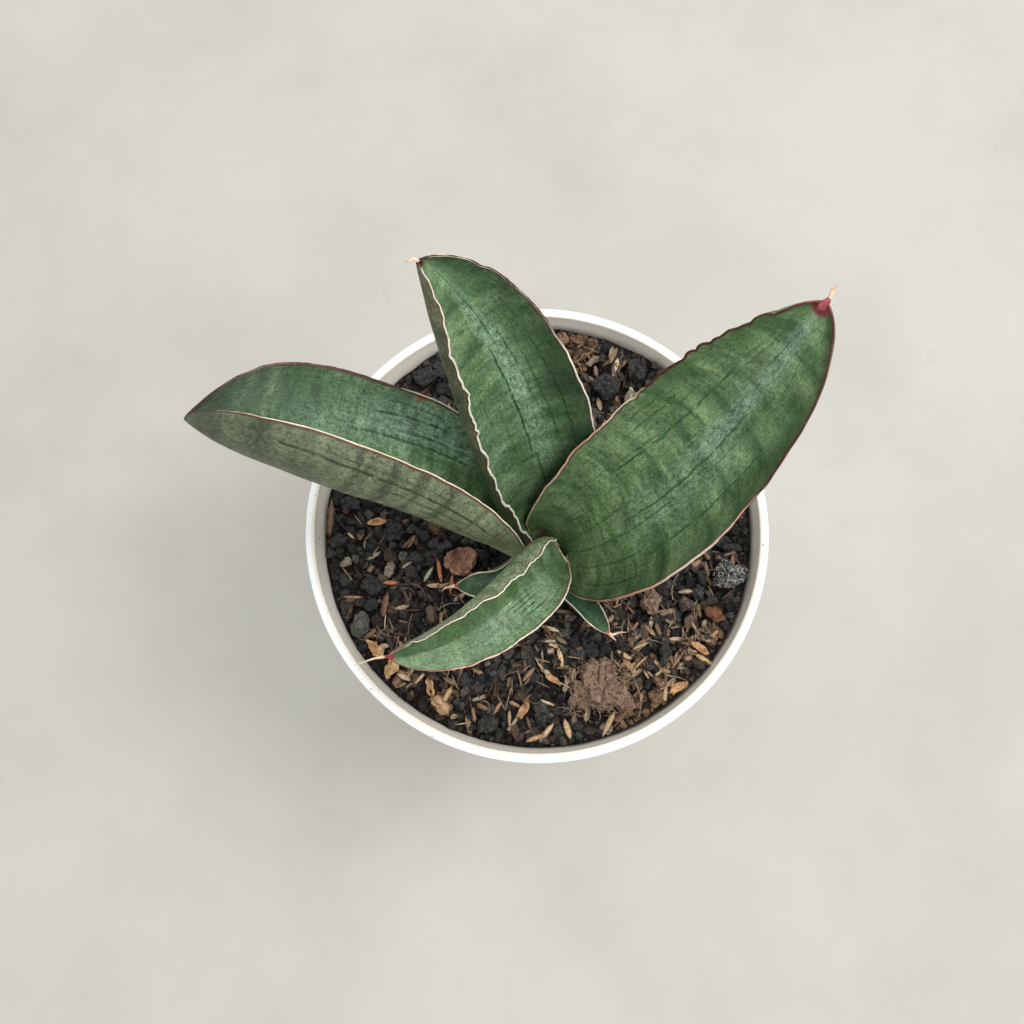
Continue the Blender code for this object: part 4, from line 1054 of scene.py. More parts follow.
def ground_height(x, y, low_points):
    """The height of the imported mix, kept under every leaf that passes over it."""
    bumps = noise.noise(Vector((x, y, 3)) / (7 * MM)) + 0.5 * noise.noise(Vector((x, y, 4)) / (3.2 * MM))
    level = SOIL_LEVEL + SOIL_ROUGHNESS * bumps + bank_at(x, y)
    share = smooth_step((math.hypot(x - WELL_CENTRE[0], y - WELL_CENTRE[1]) - WELL_RADIUS) / WELL_SLOPE)
    level = WELL_FLOOR + (level - WELL_FLOOR) * float(share)
    near = low_points[np.hypot(low_points[:, 0] - x, low_points[:, 1] - y) < 3.5 * MM]
    if len(near):
        level = min(level, near[:, 2].min() - 1.5 * MM)
    return level


def grit_look(name, strength=1.0):
    """Grit whose colour each grain carries, with pits darkened by painted shade, dust in the hollows and pale
    flecks.
    """
    look = Look(name, 0.85, 0.25)
    place = look.place()
    tint = look.attribute("tint", "Color")
    pores = look.clouds(place, 900, 6, 0.85)
    dust = look.clouds(place, 420, 4, 0.6)
    # Painted shade: the pores are darkened in colour as if shadowed inside, and lightened between them; they
    # also give the bump.
    colour = look.shade(tint, look.line(look.step(pores, 0.36, 0.66), 1.55, 0.2))
    colour = look.mix(look.times(look.step(dust, 0.52, 0.75), 0.25), colour, paint(112, 102, 90))
    flecks = look.step(look.clouds(place, 2600, 1), 0.7, 0.75)
    colour = look.mix(look.times(flecks, 0.4), colour, paint(168, 160, 148))
    return look.finish(colour, look.line(dust, 0.5, 0.3), pores, 0.0012 * strength, 1.0)


def soil_look():
    """The fines between the grains, painted near black to stand in for the shade in the gaps."""
    look = Look("mix_fines_and_gap_shade", 0.95, 0.15)
    place = look.place()
    crumbs = look.cells(place, 520)
    lumps = look.clouds(place, 300, 5, 0.7)
    # Painted shade: the fines are near black, for the shadowed gaps between the grains.
    colour = look.mix(look.step(lumps, 0.4, 0.65), paint(24, 22, 20), paint(46, 41, 36))
    colour = look.mix(look.times(look.step(crumbs, 0.4, 0.1), 0.3), colour, paint(72, 62, 52))
    height = look.minus(lumps, crumbs)
    return look.finish(colour, None, height, 0.0008, 1.0)


def make_mix(low_points):
    """The body of the mix: a rough top, the tapered side and the bottom."""
    rings, segments = 70, 200
    top = inner_wall(SOIL_LEVEL) - 0.15 * MM
    angles = 2 * np.pi * np.arange(segments) / segments
    points = [np.array((0, 0, ground_height(0, 0, low_points)))]
    for i in range(1, rings + 1):
        radius = top * i / rings
        for angle in angles:
            x, y = radius * math.cos(angle), radius * math.sin(angle)
            points.append((x, y, ground_height(x, y, low_points)))
    bottom = FLOOR_TOP + 0.4 * MM
    bend = FLOOR_TOP + 4.5 * MM
    for height in (90 * MM, 60 * MM, 30 * MM, bend, bottom):
        radius = inner_wall(max(height, bend)) - (3.4 * MM if height == bottom else 0.15 * MM)
        for angle in angles:
            points.append((radius * math.cos(angle), radius * math.sin(angle), height))
    points.append((0, 0, bottom))
    faces = []
    total = rings + 5
    for k in range(segments):
        after = (k + 1) % segments
        faces.append((0, 1 + k, 1 + after, 1 + after))
        for i in range(total - 1):
            low, high = 1 + i * segments, 1 + (i + 1) * segments
            faces.append((low + k, high + k, high + after, low + after))
        last = 1 + (total - 1) * segments
        faces.append((last + k, len(points) - 1, last + after, last + after))
    points = np.array(points)
    rough_top = points[:, 2] > 100 * MM
    points[rough_top, 2] += 0.35 * MM * rough(points[rough_top], 1.6 * MM, 1.0, 2)
    return belongs(add_tube("mix_body", points, faces, soil_look()), "potting_mix", "potting_mix")


def grain_shapes(fineness, count, seed, angular):
    """Unit grains: balls knocked into lumps, some with flat broken sides."""
    shapes = []
    for number in range(count):
        work = bmesh.new()
        bmesh.ops.create_icosphere(work, subdivisions=fineness, radius=1)
        points = np.array([vert.co[:] for vert in work.verts])
        faces = np.array([[vert.index for vert in face.verts] for face in work.faces])
        work.free()
        draws = np.random.default_rng(seed + number)
        for _ in range(12):
            way = draws.normal(size=3)
            way /= np.linalg.norm(way)
            reach = draws.uniform(0.45, 0.8)
            over = points @ way - reach
            points = points - np.where(over > 0, over, 0)[:, None] * way * angular
        bumps = rough(points, 0.55, seed + 3.3 * number, 3)
        points = points * (1.15 + 0.34 * bumps)[:, None]
        shapes.append((points, faces))
    return shapes


def turned(count, draws):
    """Random rotations as matrices."""
    quads = draws.normal(size=(count, 4))
    quads /= np.linalg.norm(quads, axis=1, keepdims=True)
    w, x, y, z = quads.T
    rows = [[1 - 2 * (y * y + z * z), 2 * (x * y - z * w), 2 * (x * z + y * w)],
            [2 * (x * y + z * w), 1 - 2 * (x * x + z * z), 2 * (y * z - x * w)],
            [2 * (x * z - y * w), 2 * (y * z + x * w), 1 - 2 * (x * x + y * y)]]
    return np.array(rows).transpose(2, 0, 1)


def scatter(name, shapes, pieces, finish, slot, sharp=180.0):
    """One mesh of many copies of the shapes; pieces are (centre, size, rotation, colour)."""
    points, faces, colours = [], [], []
    total = 0
    for k, (centre, size, rotation, colour) in enumerate(pieces):
        shape, corners, *light = shapes[k % len(shapes)]
        points.append((shape * size) @ rotation.T + centre)
        faces.append(corners + total)
        tint = np.repeat([colour], len(shape), 0)
        if light:
            tint[:, :3] *= light[0][:, None]
        colours.append(tint)
        total += len(shape)
    made = add_mesh(name, np.concatenate(points), np.concatenate(faces), [finish])
    made.data.set_sharp_from_angle(angle=math.radians(sharp))
    mark(made, "tint", "FLOAT_COLOR", np.concatenate(colours))
    return belongs(made, slot)


GRAIN_COLOURS = (
    (0.4, paint(66, 65, 62)), (0.24, paint(80, 78, 74)), (0.18, paint(50, 48, 46)),
    (0.07, paint(98, 93, 85)), (0.06, paint(80, 68, 56)), (0.02, paint(118, 112, 100)),
    (0.02, paint(104, 80, 62)), (0.01, paint(150, 142, 126)),
)


def grain_tints(count, draws):
    shares = np.array([share for share, _ in GRAIN_COLOURS])
    palette = np.array([colour for _, colour in GRAIN_COLOURS])
    picked = palette[draws.choice(len(palette), count, p=shares / shares.sum())].copy()
    picked[:, :3] *= draws.uniform(0.7, 1.3, (count, 1))
    return picked


# Coarse, medium and fine grains: least and most radius in mm, how many are tried, how near two may lie.
GRAIN_CLASSES = ((2.0, 3.0, 1900, 0.74), (1.3, 2.0, 9000, 0.68), (0.6, 1.25, 16000, 0.62))
# Edges of a grain that bend by more than this many degrees stay sharp.
BREAK_ANGLE = 24


def crowded(bins, key, x, y, radius, slack):
    """Whether a grain placed here would touch one that already lies in this square or those round it."""
    near = [bins.get((key[0] + i, key[1] + j), ()) for i in (-1, 0, 1) for j in (-1, 0, 1)]
    return any(math.hypot(ox - x, oy - y) < slack * (radius + other)
               for square in near for ox, oy, other in square)


def pack_grains(low_points, leaf_tree, keep_out):
    """Places grains largest first, each clear of the ones before it, of the pot's wall and of the leaves."""
    draws = np.random.default_rng(11)
    cell = 6.5 * MM
    bins = {}
    placed = ([], [], [])
    for kind, (least, most, tries, slack) in enumerate(GRAIN_CLASSES):
        for _ in range(tries):
            radius = draws.uniform(least, most) * MM
            out = (inner_wall(SOIL_LEVEL) - 0.9 * radius) * math.sqrt(draws.uniform())
            angle = draws.uniform(0, 2 * math.pi)
            x, y = out * math.cos(angle), out * math.sin(angle)
            key = (int(x // cell), int(y // cell))
            if crowded(bins, key, x, y, radius, slack):
                continue
            if any(math.hypot(cx - x, cy - y) < reach + 0.5 * radius for cx, cy, reach in keep_out):
                continue
            z = ground_height(x, y, low_points) + radius * draws.uniform(-0.15, 0.4)
            if leaf_tree.find_nearest(Vector((x, y, z)), radius * 1.25)[0] is not None:
                continue
            bins.setdefault(key, []).append((x, y, radius))
            placed[kind].append((x, y, z, radius))
    return [np.array(part) for part in placed]


def make_grains(low_points, leaf_tree, keep_out):
    draws = np.random.default_rng(12)
    finish = grit_look("grit")
    made = []
    for kind, part in enumerate(pack_grains(low_points, leaf_tree, keep_out)):
        name = ("grit_coarse", "grit_medium", "grit_fine")[kind]
        shapes = grain_shapes(3 if kind == 0 else 2, 14, 30 + 20 * kind, 0.85)
        count = len(part)
        sizes = part[:, 3:4] * draws.uniform(0.75, 1.15, (count, 3))
        tints = grain_tints(count, draws)
        centres = part[:, :3]
        for x, y, reach in PEAT:
            away = np.hypot(centres[:, 0] - x * MM, centres[:, 1] - y * MM) / (reach * MM)
            brown = away + draws.uniform(-0.5, 0.5, count) < 0.8
            tints[brown] = np.array(paint(138, 108, 82)) * draws.uniform(0.6, 1.25, (brown.sum(), 1))
        pieces = zip(centres, sizes, turned(count, draws), tints)
        made.append(scatter(name, shapes, pieces, finish, "potting_mix", BREAK_ANGLE))
    return made


def tree_of(objects):
    points, faces, total = [], [], 0
    for piece in objects:
        count = len(piece.data.vertices)
        place = np.zeros(count * 3, np.float32)
        piece.data.vertices.foreach_get("co", place)
        points.append(place.reshape(-1, 3))
        faces += [[total + k for k in polygon.vertices] for polygon in piece.data.polygons]
        total += count
    return BVHTree.FromPolygons(np.concatenate(points).tolist(), faces)


def top_at(tree, x, y):
    """The height of the highest thing in the tree at x and y."""
    hit = tree.ray_cast(Vector((x, y, 0.2)), Vector((0, 0, -1)))
    return hit[0].z if hit[0] is not None else SOIL_LEVEL


def lay(tree, x, y, length, turn, lift):
    """A rotation and a centre for a piece that lies along turn on what is under its middle and ends."""
    way = np.array((math.cos(turn), math.sin(turn)))
    middle = top_at(tree, x, y)
    ends = [top_at(tree, x + s * way[0] * length / 2, y + s * way[1] * length / 2) for s in (-1, 1)]
    pitch = max(min(math.atan2(ends[1] - ends[0], length), 0.5), -0.5)
    z = max(middle, sum(ends) / 2) + lift
    return Matrix.Rotation(turn, 3, "Z") @ Matrix.Rotation(-pitch, 3, "Y"), Vector((x, y, z))


def husk_shape(full, broken, seed, rows=13, columns=9):
    """A split husk or chip of unit length, closed and thin; full makes it blunt, broken jags its ends.

    Its third part is how light each point is: dark margins and tips, and streaks that run its length.
    """
    draws = np.random.default_rng(seed)
    jags = draws.uniform(-0.5, 0.5, (2, columns)) * broken
    curl, twist = draws.uniform(0.05, 0.5), draws.normal() * 0.25
    grid = np.zeros((2, rows, columns, 3))
    for i in range(rows):
        share = i / (rows - 1)
        s = share - 0.5
        half = 0.5 * (max(1 - (2 * abs(s)) ** full, 0) ** 0.9) * (1 + 0.15 * draws.normal() * broken) + 0.03
        for j in range(columns):
            t = -1 + 2 * j / (columns - 1)
            rib = 0.05 * math.cos(3 * math.pi * t)
            end = jags[0, j] * max(1 - 5 * share, 0) + jags[1, j] * max(5 * share - 4, 0)
            lift = 0.8 * half * (1 - t * t) + rib - curl * s * s + twist * s * t * half
            for face, thick in enumerate((0.12, 0.0)):
                grid[face, i, j] = (s + 0.22 * end, t * half + 0.1 * curl * s, lift + thick)
    streaks = np.random.default_rng(seed + 500).uniform(0.5, 1.25, columns)
    margins = 1.1 - 0.5 * np.abs(np.linspace(-1, 1, columns)) ** 3
    ends = 1.1 - 0.45 * np.abs(np.linspace(-1, 1, rows)) ** 4
    light = np.broadcast_to(ends[:, None] * (streaks * margins)[None], (2, rows, columns))
    index = np.arange(2 * rows * columns).reshape(2, rows, columns)
    top, low = index
    faces = [quads(top[:-1, :-1], top[1:, :-1], top[1:, 1:], top[:-1, 1:]),
             quads(low[:-1, :-1], low[:-1, 1:], low[1:, 1:], low[1:, :-1]),
             quads(top[:-1, 0], low[:-1, 0], low[1:, 0], top[1:, 0]),
             quads(top[1:, -1], low[1:, -1], low[:-1, -1], top[:-1, -1]),
             quads(top[0, 1:], low[0, 1:], low[0, :-1], top[0, :-1]),
             quads(top[-1, :-1], low[-1, :-1], low[-1, 1:], top[-1, 1:])]
    return grid.reshape(-1, 3), np.concatenate(faces), light.reshape(-1)


def litter_weight(x, y):
    """How thickly dry litter lies: most to the south and east, least to the west."""
    south = smooth_step((-y / MM + 10) / 55)
    east = smooth_step((x / MM - 10) / 45)
    north = smooth_step((y / MM - 35) / 25) * smooth_step((x / MM + 10) / 30)
    tufts = 0.55 + 1.5 * noise.noise(Vector((x, y, 9)) / (13 * MM))
    weight = 0.1 + 0.75 * south * (0.45 + 0.55 * east) + 0.4 * east + 0.5 * north
    return float(np.clip(weight * tufts, 0.04, 1))


def litter_look(name, roughness=0.7):
    """Dry litter whose colour each piece carries, with fibres and darker tips."""
    look = Look(name, roughness, 0.25)
    place = look.place()
    tint = look.attribute("tint", "Color")
    fibres = look.clouds(look.stretch(place, (1, 1.3, 2)), 1100, 5, 0.75, 0.8)
    colour = look.shade(tint, look.line(fibres, 2.6, -0.35))
    stain = look.step(look.clouds(place, 260, 3), 0.55, 0.75)
    colour = look.mix(look.times(stain, 0.35), colour, paint(86, 54, 34))
    return look.finish(colour, None, fibres, 0.0002, 0.7)


def spots_for(count, draws, leaf_tree, keep_out, reach):
    """Places for litter, more of them where litter lies thickly."""
    chosen = []
    while len(chosen) < count:
        out = (inner_wall(SOIL_LEVEL) - reach) * math.sqrt(draws.uniform())
        angle = draws.uniform(0, 2 * math.pi)
        x, y = out * math.cos(angle), out * math.sin(angle)
        if draws.uniform() > litter_weight(x, y):
            continue
        if any(math.hypot(cx - x, cy - y) < 0.8 * far for cx, cy, far in keep_out):
            continue
        if leaf_tree.find_nearest(Vector((x, y, SOIL_LEVEL + 1 * MM)), reach)[0] is not None:
            continue
        chosen.append((x, y))
    return chosen


HUSK_COLOURS = (paint(196, 164, 130), paint(178, 144, 112), paint(158, 126, 98), paint(206, 180, 148),
                paint(140, 108, 82), paint(180, 162, 138), paint(168, 140, 112))
BARK_COLOURS = (paint(100, 80, 66), paint(82, 68, 58), paint(118, 92, 74), paint(72, 62, 54),
                paint(132, 108, 90))
# Litter that has its own place: x, y, length and width in mm, the direction it lies in degrees, its colour.
PLACED = {
    "husks": (
        (-51, -19, 5.6, 1.5, 0, paint(184, 116, 78)), (-38, -16, 6.5, 1.4, 60, paint(168, 164, 134)),
        (52, -22, 5.4, 1.7, 2, paint(186, 162, 134)), (44, -29, 5.5, 1.1, 8, paint(182, 148, 116)),
        (57, -46, 8.5, 2.3, -28, paint(198, 162, 122)), (60, -37, 5, 1.8, 20, paint(176, 140, 106)),
        (52, -55, 9, 2.0, 42, paint(200, 168, 130)), (43, -58, 8, 1.8, 84, paint(192, 162, 124)),
        (46, -56, 7.5, 1.7, 95, paint(180, 148, 112)), (24, -67, 10, 1.9, 62, paint(192, 160, 120)),
        (32, -48, 8, 2.0, -52, paint(188, 150, 112)), (30, -44, 6, 1.8, -30, paint(196, 162, 124)),
        (8, -45, 7.5, 1.8, 100, paint(198, 166, 128)), (10, -69, 7.5, 2.2, 105, paint(188, 156, 118)),
        (3, -70, 8, 1.8, 50, paint(196, 164, 126)), (-1, -72, 7, 1.7, 20, paint(180, 146, 110)),
    ),
    "chips": (
        (-73, 4, 13, 2.4, 86, paint(122, 94, 74)), (-68, 8, 3.6, 2.2, 80, paint(150, 88, 64)),
        (-64, -24, 6.5, 0.9, 0, paint(172, 126, 98)), (-53, -27, 8.5, 2.0, 78, paint(120, 92, 76)),
        (-37, -30, 6.5, 3.0, 100, paint(106, 88, 70)), (-33, -61, 8, 4.2, 130, paint(166, 134, 98)),
        (-31, -58, 7, 1.6, 60, paint(186, 152, 112)), (-48, -53, 4.2, 3.2, 40, paint(138, 100, 90)),
    ),
}
# Where brown peat dust covers the grains: x, y and reach in mm.
PEAT = ((38, -60, 9), (62, -34, 6), (30, -68, 6), (14, 61, 10), (-34, -58, 5))


def rolled(rotation, angle):
    """A rotation matrix as an array, after a roll about the piece's own length."""
    return np.array(rotation @ Matrix.Rotation(angle, 3, "X"))


def dyed(palette, draws, darkest, lightest):
    """One colour of the palette, made lighter or darker."""
    tint = np.array(palette[draws.integers(len(palette))])
    tint[:3] *= draws.uniform(darkest, lightest)
    return tint


def make_litter(ground, leaf_tree, keep_out):
    """Husks, chips, splinters, bark and fibres: scattered, then those that have their own place."""
    draws = np.random.default_rng(13)
    for name, count, longest, widest, palette, slot, full, broken in (
            ("husks", 160, 7.0, 1.7, HUSK_COLOURS, "rice_husk", 2.5, 0.4),
            ("chips", 200, 6.0, 1.5, HUSK_COLOURS + BARK_COLOURS, "bark_flake", 7.0, 1.0),
            ("splinters", 220, 7.5, 0.6, HUSK_COLOURS + BARK_COLOURS, "dry_stick", 5.0, 0.8)):
        shapes = [husk_shape(full, broken, 60 + k) for k in range(9)]
        pieces = []
        for x, y in spots_for(count, draws, leaf_tree, keep_out, 3.2 * MM):
            length = longest * draws.uniform(0.45, 1.05) * MM
            rotation, centre = lay(ground, x, y, length * 0.8, draws.uniform(0, 2 * math.pi), 0.25 * MM)
            roll = draws.choice((0, math.pi)) + draws.normal() * 0.35
            width = widest * draws.uniform(0.5, 1.1) * MM
            size = (length, width, width * draws.uniform(0.5, 0.9))
            centre = np.array(centre) + np.array((0, 0, 0.35 * MM))
            pieces.append((centre, size, rolled(rotation, roll), dyed(palette, draws, 0.5, 1.12)))
        scatter("scattered_" + name, shapes, pieces, litter_look("litter_" + name), slot)
    pieces = []
    for x, y in spots_for(120, draws, leaf_tree, keep_out, 3 * MM):
        length = draws.uniform(2.2, 5.5) * MM
        rotation, centre = lay(ground, x, y, length * 0.7, draws.uniform(0, 2 * math.pi), 0.1 * MM)
        rotation = rolled(rotation, draws.normal() * 0.3)
        size = (length / 2, length * draws.uniform(0.2, 0.4), draws.uniform(0.35, 0.8) * MM)
        pieces.append((np.array(centre), size, rotation, dyed(BARK_COLOURS, draws, 0.7, 1.25)))
    finish = litter_look("litter_bark", 0.85)
    scatter("scattered_bark", grain_shapes(3, 8, 90, 1.0), pieces, finish, "bark_flake")
    for kind, slot, full, broken in (("husks", "rice_husk", 2.4, 0.3), ("chips", "bark_flake", 7, 1.0)):
        pieces = []
        for x, y, length, width, turn, colour in PLACED[kind]:
            rotation, centre = lay(ground, x * MM, y * MM, length * MM, math.radians(turn), 0.6 * MM)
            size = (length * MM, width * MM, width * 0.6 * MM)
            pieces.append((np.array(centre), size, rolled(rotation, draws.normal() * 0.3), colour))
        shapes = [husk_shape(full, broken, 90 + k) for k in range(7)]
        scatter("placed_" + kind, shapes, pieces, litter_look("placed_" + kind), slot)
    make_fibres("coir_fibres", [(x, y, None) for x, y in spots_for(130, draws, leaf_tree, keep_out, 3 * MM)],
                ground, draws, (4, 11), 0.16)


def make_fibres(name, starts, ground, draws, lengths, radius):
    """Loose coir fibres: thin curved hairs, each resting on what is under it, or at a given height."""
    points, faces, tints, total = [], [], [], 0
    for x, y, z in starts:
        length = draws.uniform(*lengths) * MM
        turn = draws.uniform(0, 2 * math.pi)
        bend = draws.normal() * 1.3
        steps = 9
        path = np.zeros((steps, 3))
        path[0] = (x, y, 0)
        for k in range(1, steps):
            angle = turn + bend * (k / steps - 0.5)
            path[k] = path[k - 1] + np.array((math.cos(angle), math.sin(angle), 0)) * length / (steps - 1)
        if z is None:
            path[:, 2] = [top_at(ground, spot[0], spot[1]) + 0.2 * MM for spot in path]
            peak = path[:, 2].max()
            path[:, 2] = 0.4 * path[:, 2] + 0.6 * peak
            inside = np.hypot(path[:, 0], path[:, 1]) < inner_wall(SOIL_LEVEL) - 0.8 * MM
            if not inside.all():
                continue
        else:
            path[:, 2] = z + np.sin(np.linspace(0, 2.4, steps)) * draws.uniform(-0.4, 0.9) * MM
        for _ in range(2):
            path[1:-1] = (path[:-2] + 2 * path[1:-1] + path[2:]) / 4
        radii = np.linspace(radius, radius * 0.45, steps) * MM
        tube_points, tube_faces = strand(path, np.repeat([[0, 0, 1.0]], steps, 0), radii, 1.0, 5)
        points.append(tube_points)
        faces += [tuple(k + total for k in face) for face in tube_faces]
        total += len(tube_points)
        colour = np.array(HUSK_COLOURS[draws.integers(len(HUSK_COLOURS))])
        colour[:3] *= draws.uniform(0.55, 1.05)
        tints.append(np.broadcast_to(colour, (len(tube_points), 4)))
    made = add_tube(name, np.concatenate(points), faces, litter_look(name))
    mark(made, "tint", "FLOAT_COLOR", np.concatenate(tints))
    return belongs(made, "coir")


# ---------------------------------------------------------------- lumps


def stone_look(name, dark, light, fleck, size, pits=0.5, bare=0.58):
    """A stone of two mixed colours with flecks, and pores darkened with painted shade."""
    look = Look(name, 0.85, 0.25)
    place = look.place()
    body = look.clouds(place, size, 5, 0.7, 0.5)
    colour = look.mix(look.step(body, 0.38, 0.62), dark, light)
    spots = look.clouds(place, size * 4.5, 3, 0.6)
    colour = look.mix(look.step(spots, bare, bare + 0.08), colour, fleck)
    # Painted shade: the pores are dark spots of colour, as if shadowed inside; pits is how dark they are.
    shaded_pores = look.cells(place, size * 3)
    colour = look.mix(look.times(look.step(shaded_pores, 0.22, 0.08), pits), colour, paint(34, 32, 30))
    height = look.plus(body, look.times(spots, 0.6))
    return look.finish(colour, None, height, 0.0006, 0.9)


def refined(node, slot, levels, lumps, finish, seed, warp):
    """A node's own shape made finely lumpy: lumps and warp are (size, height) in mm, out and sideways."""
    mesh = NODES[node].data.copy()
    made = in_scene(node + "_piece", mesh)
    work = bmesh.new()
    work.from_mesh(mesh)
    bmesh.ops.remove_doubles(work, verts=work.verts, dist=1e-6)
    work.to_mesh(mesh)
    work.free()
    fine = made.modifiers.new("fine", "SUBSURF")
    fine.levels = fine.render_levels = levels
    mesh = apply_modifiers(made)
    count = len(mesh.vertices)
    points = np.zeros(count * 3, np.float32)
    ways = np.zeros(count * 3, np.float32)
    mesh.vertices.foreach_get("co", points)
    mesh.vertices.foreach_get("normal", ways)
    points, ways = points.reshape(-1, 3), ways.reshape(-1, 3)
    moved = points.copy()
    for number, (size, height) in enumerate(lumps):
        moved += ways * (rough(points, size * MM, seed + 5.1 * number, 3) * height * MM)[:, None]
    if warp[1]:
        for axis, share in enumerate((1.0, 1.0, 0.35)):
            moved[:, axis] += share * warp[1] * MM * rough(points, warp[0] * MM, seed + 31 + 7 * axis, 3)
    middle = points.mean(0)
    moved[:, 2] += bank_at(middle[0], middle[1])
    mesh.vertices.foreach_set("co", moved.ravel())
    mesh.materials.clear()
    mesh.materials.append(finish)
    mesh.update()
    mesh.shade_smooth()
    return belongs(made, slot, node)


def make_lumps():
    """Every loose piece of the frame, refined; the ones whose names start alike share a row and a look."""
    coir = stone_look("coir", paint(92, 72, 60), paint(154, 127, 107), paint(180, 154, 130), 600, 0.6)
    grey = stone_look("speckled_stone", paint(34, 34, 33), paint(84, 83, 80), paint(180, 178, 170),
                      330, 0.8, 0.53)
    mottled = stone_look("mottled_stone", paint(62, 62, 57), paint(104, 103, 94), paint(138, 135, 122),
                         600, 0.8)
    brown = stone_look("brown_stone", paint(62, 54, 48), paint(108, 94, 82), paint(136, 120, 104), 600, 0.7)
    bark = dry_look("bark", paint(74, 48, 34), paint(128, 86, 58), 380)
    pale = stone_look("pale_stone", paint(112, 104, 90), paint(166, 154, 132), paint(92, 80, 66), 700, 0.6)
    coal = stone_look("charcoal", paint(34, 34, 33), paint(70, 69, 66), paint(104, 101, 96), 700, 1.0)
    scrap = dry_look("curled_scrap", paint(112, 82, 66), paint(166, 126, 102), 260)
    stick = dry_look("stick", paint(136, 82, 58), paint(184, 126, 92), 500)
    tan = dry_look("tan_scrap", paint(166, 128, 90), paint(216, 180, 132), 300)
    husk = dry_look("husk", paint(150, 106, 74), paint(206, 164, 120), 420)
    for start, slot, levels, lumps, finish, seed, warp in (
            ("coir_lump", "coir", 3, ((10, 2.5), (4, 1.6), (1.4, 0.8), (0.6, 0.4)), coir, 1, (11, 5.0)),
            ("coir_crumb", "coir", 3, ((3, 1.0), (1.2, 0.6), (0.6, 0.25)), coir, 2, (4, 1.2)),
            ("speckled_stone", "speckled_stone", 3, ((4, 1.2), (1.6, 0.8), (0.7, 0.4)), grey, 3, (5, 1.6)),
            ("mottled_stone", "mottled_stone", 3, ((3, 0.7), (1.2, 0.4)), mottled, 4, (4, 1.0)),
            ("brown_stone", "brown_stone", 3, ((3, 0.8), (1.2, 0.45)), brown, 5, (4, 1.6)),
            ("bark_flake", "bark_flake", 2, ((2, 0.25), (0.8, 0.15)), bark, 6, (3, 0.9)),
            ("charcoal_", "charcoal", 3, ((3.2, 1.5), (1.3, 0.7), (0.6, 0.3)), coal, 7, (5, 1.2)),
            ("pale_", "pale_stone", 2, ((2.5, 0.6), (0.9, 0.3)), pale, 7, (3, 0.8)),
            ("curled_leaf_scrap", "curled_leaf_scrap", 3, ((5, 0.9), (1.6, 0.3)), scrap, 40, (5, 1.8)),
            ("dry_stick", "dry_stick", 2, ((2, 0.15),), stick, 50, (4, 0)),
            ("rice_husk", "rice_husk", 2, ((3, 0.3), (1, 0.08)), husk, 50, (3.5, 0.7)),
            ("tan_scrap", "tan_scrap", 3, ((4, 0.6), (1.2, 0.15)), tan, 50, (3, 1.3))):
        for number, node in enumerate(sorted(NODES)):
            if node.startswith(start):
                refined(node, slot, levels, lumps, finish, seed + (node != start) * number, warp)


def keep_outs():
    """Where the larger loose pieces lie, so that grains and litter leave them showing."""
    spots = []
    for node in NODES:
        low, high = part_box(node)
        if node in ("pot", "potting_mix", "rootstock") or "leaf_" in node and "scrap" not in node:
            continue
        middle = (low + high) / 2
        spots.append((middle.x, middle.y, 0.36 * (high.x - low.x + high.y - low.y) / 2 * 1.6))
    return spots


# ---------------------------------------------------------------- setting


# The camera, nearly above the pot: where it stands in metres, its tilt in degrees and its lens in mm.
CAMERA_PLACE = (-0.0087, -0.0683, 0.4586)
CAMERA_TILT = 12.19
CAMERA_LENS = 34.98
# The soft lamp, to the east: where it hangs and aims, its width in metres and its power in watts.
LAMP_PLACE = (0.75, 0.2, 1.25)
LAMP_TARGET = (0, 0, 0.1)
LAMP_SIZE = 0.8
LAMP_POWER = 10.5
SKY_STRENGTH = 1.03
# Half the width of the floor, in metres.
FLOOR_REACH = 2
# How many hairs stand on the coir lump.
COIR_HAIRS = 260


def make_stage():
    look = Look("floor", 0.8, 0.2)
    place = look.place()
    cloud = look.clouds(place, 7, 5, 0.6)
    spots = look.clouds(place, 60, 4, 0.6)
    colour = look.mix(look.step(cloud, 0.35, 0.7), paint(193, 190, 182), paint(184, 180, 170))
    colour = look.mix(look.times(look.step(spots, 0.6, 0.8), 0.3), colour, paint(174, 169, 158))
    corners = [(x * FLOOR_REACH, y * FLOOR_REACH, 0) for x, y in ((-1, -1), (1, -1), (1, 1), (-1, 1))]
    add_mesh("floor", corners, [(0, 1, 2, 3)], [look.finish(colour, None, spots, 0.0002, 0.3)])


def make_lamp():
    data = bpy.data.lights.new("soft_sky", "AREA")
    data.shape = "DISK"
    data.size = LAMP_SIZE
    data.energy = LAMP_POWER
    made = in_scene("soft_sky", data)
    made.location = LAMP_PLACE
    made.rotation_euler = (Vector(LAMP_TARGET) - Vector(LAMP_PLACE)).to_track_quat("-Z", "Y").to_euler()


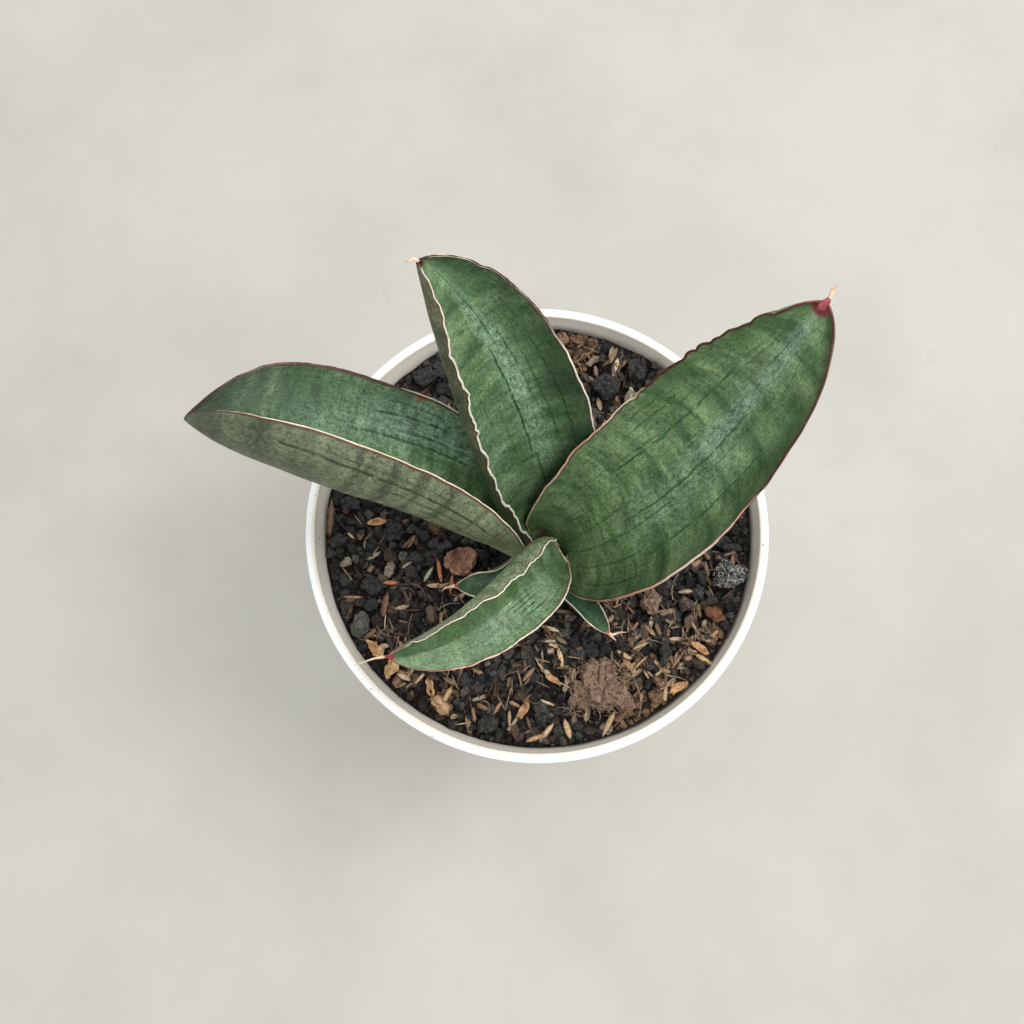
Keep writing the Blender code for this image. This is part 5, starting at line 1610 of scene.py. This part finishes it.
def make_light():
    world = bpy.data.worlds.new("sky")
    world.use_nodes = True
    sky = world.node_tree.nodes["Background"].inputs
    sky["Color"].default_value = (0.97, 0.985, 1.0, 1)
    sky["Strength"].default_value = SKY_STRENGTH
    bpy.context.scene.world = world
    make_lamp()
    bpy.context.scene.view_settings.view_transform = "Standard"


def make_camera():
    data = bpy.data.cameras.new("camera")
    data.lens = CAMERA_LENS
    data.sensor_width = 36
    made = in_scene("camera", data)
    made.location = CAMERA_PLACE
    made.rotation_euler = (math.radians(CAMERA_TILT), 0, 0)
    bpy.context.scene.camera = made


def rootstock_look():
    look = Look("rootstock_skin", 0.8, 0.2)
    place = look.place()
    rings = look.clouds(look.stretch(place, (1, 1, 4)), 220, 4, 0.6)
    colour = look.mix(look.step(rings, 0.35, 0.65), paint(150, 118, 76), paint(196, 164, 112))
    return look.finish(colour, None, rings, 0.0004, 0.8)


make_camera()
make_stage()
make_light()
make_pot()
skins = []
undersides = []
for leaf_name, leaf_facts in LEAVES.items():
    middles, ways, skin = make_blade(leaf_name, leaf_facts)
    make_tip(leaf_name, middles, ways)
    skins.append(skin)
    undersides.append((middles[BURIED_ROWS:] - np.array((0, 0, 0.5 * leaf_facts["thick"])))[::3, ::3])
low_points = np.concatenate([points.reshape(-1, 3) for points in undersides])
low_points = low_points[low_points[:, 2] < SOIL_LEVEL + 9 * MM]
leaf_tree = tree_of(skins)
make_torn_sheath("leaf_front", LEAVES["leaf_front"])
NODES["rootstock"].data.materials.clear()
NODES["rootstock"].data.materials.append(rootstock_look())
mix_body = make_mix(low_points)
open_spots = keep_outs()
grit = make_grains(low_points, leaf_tree, open_spots)
make_lumps()
ground = tree_of([mix_body] + grit)
make_litter(ground, leaf_tree, open_spots)
coir_low, coir_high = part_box("coir_lump")
coir_spots = []
hair_draws = np.random.default_rng(14)
for _ in range(COIR_HAIRS):
    x, y = [hair_draws.uniform(coir_low[k], coir_high[k]) for k in (0, 1)]
    coir_spots.append((x, y, hair_draws.uniform(0.4, 1.0) * (coir_high.z - coir_low.z) + coir_low.z))
make_fibres("coir_hairs", coir_spots, ground, hair_draws, (1.5, 4.2), 0.09)
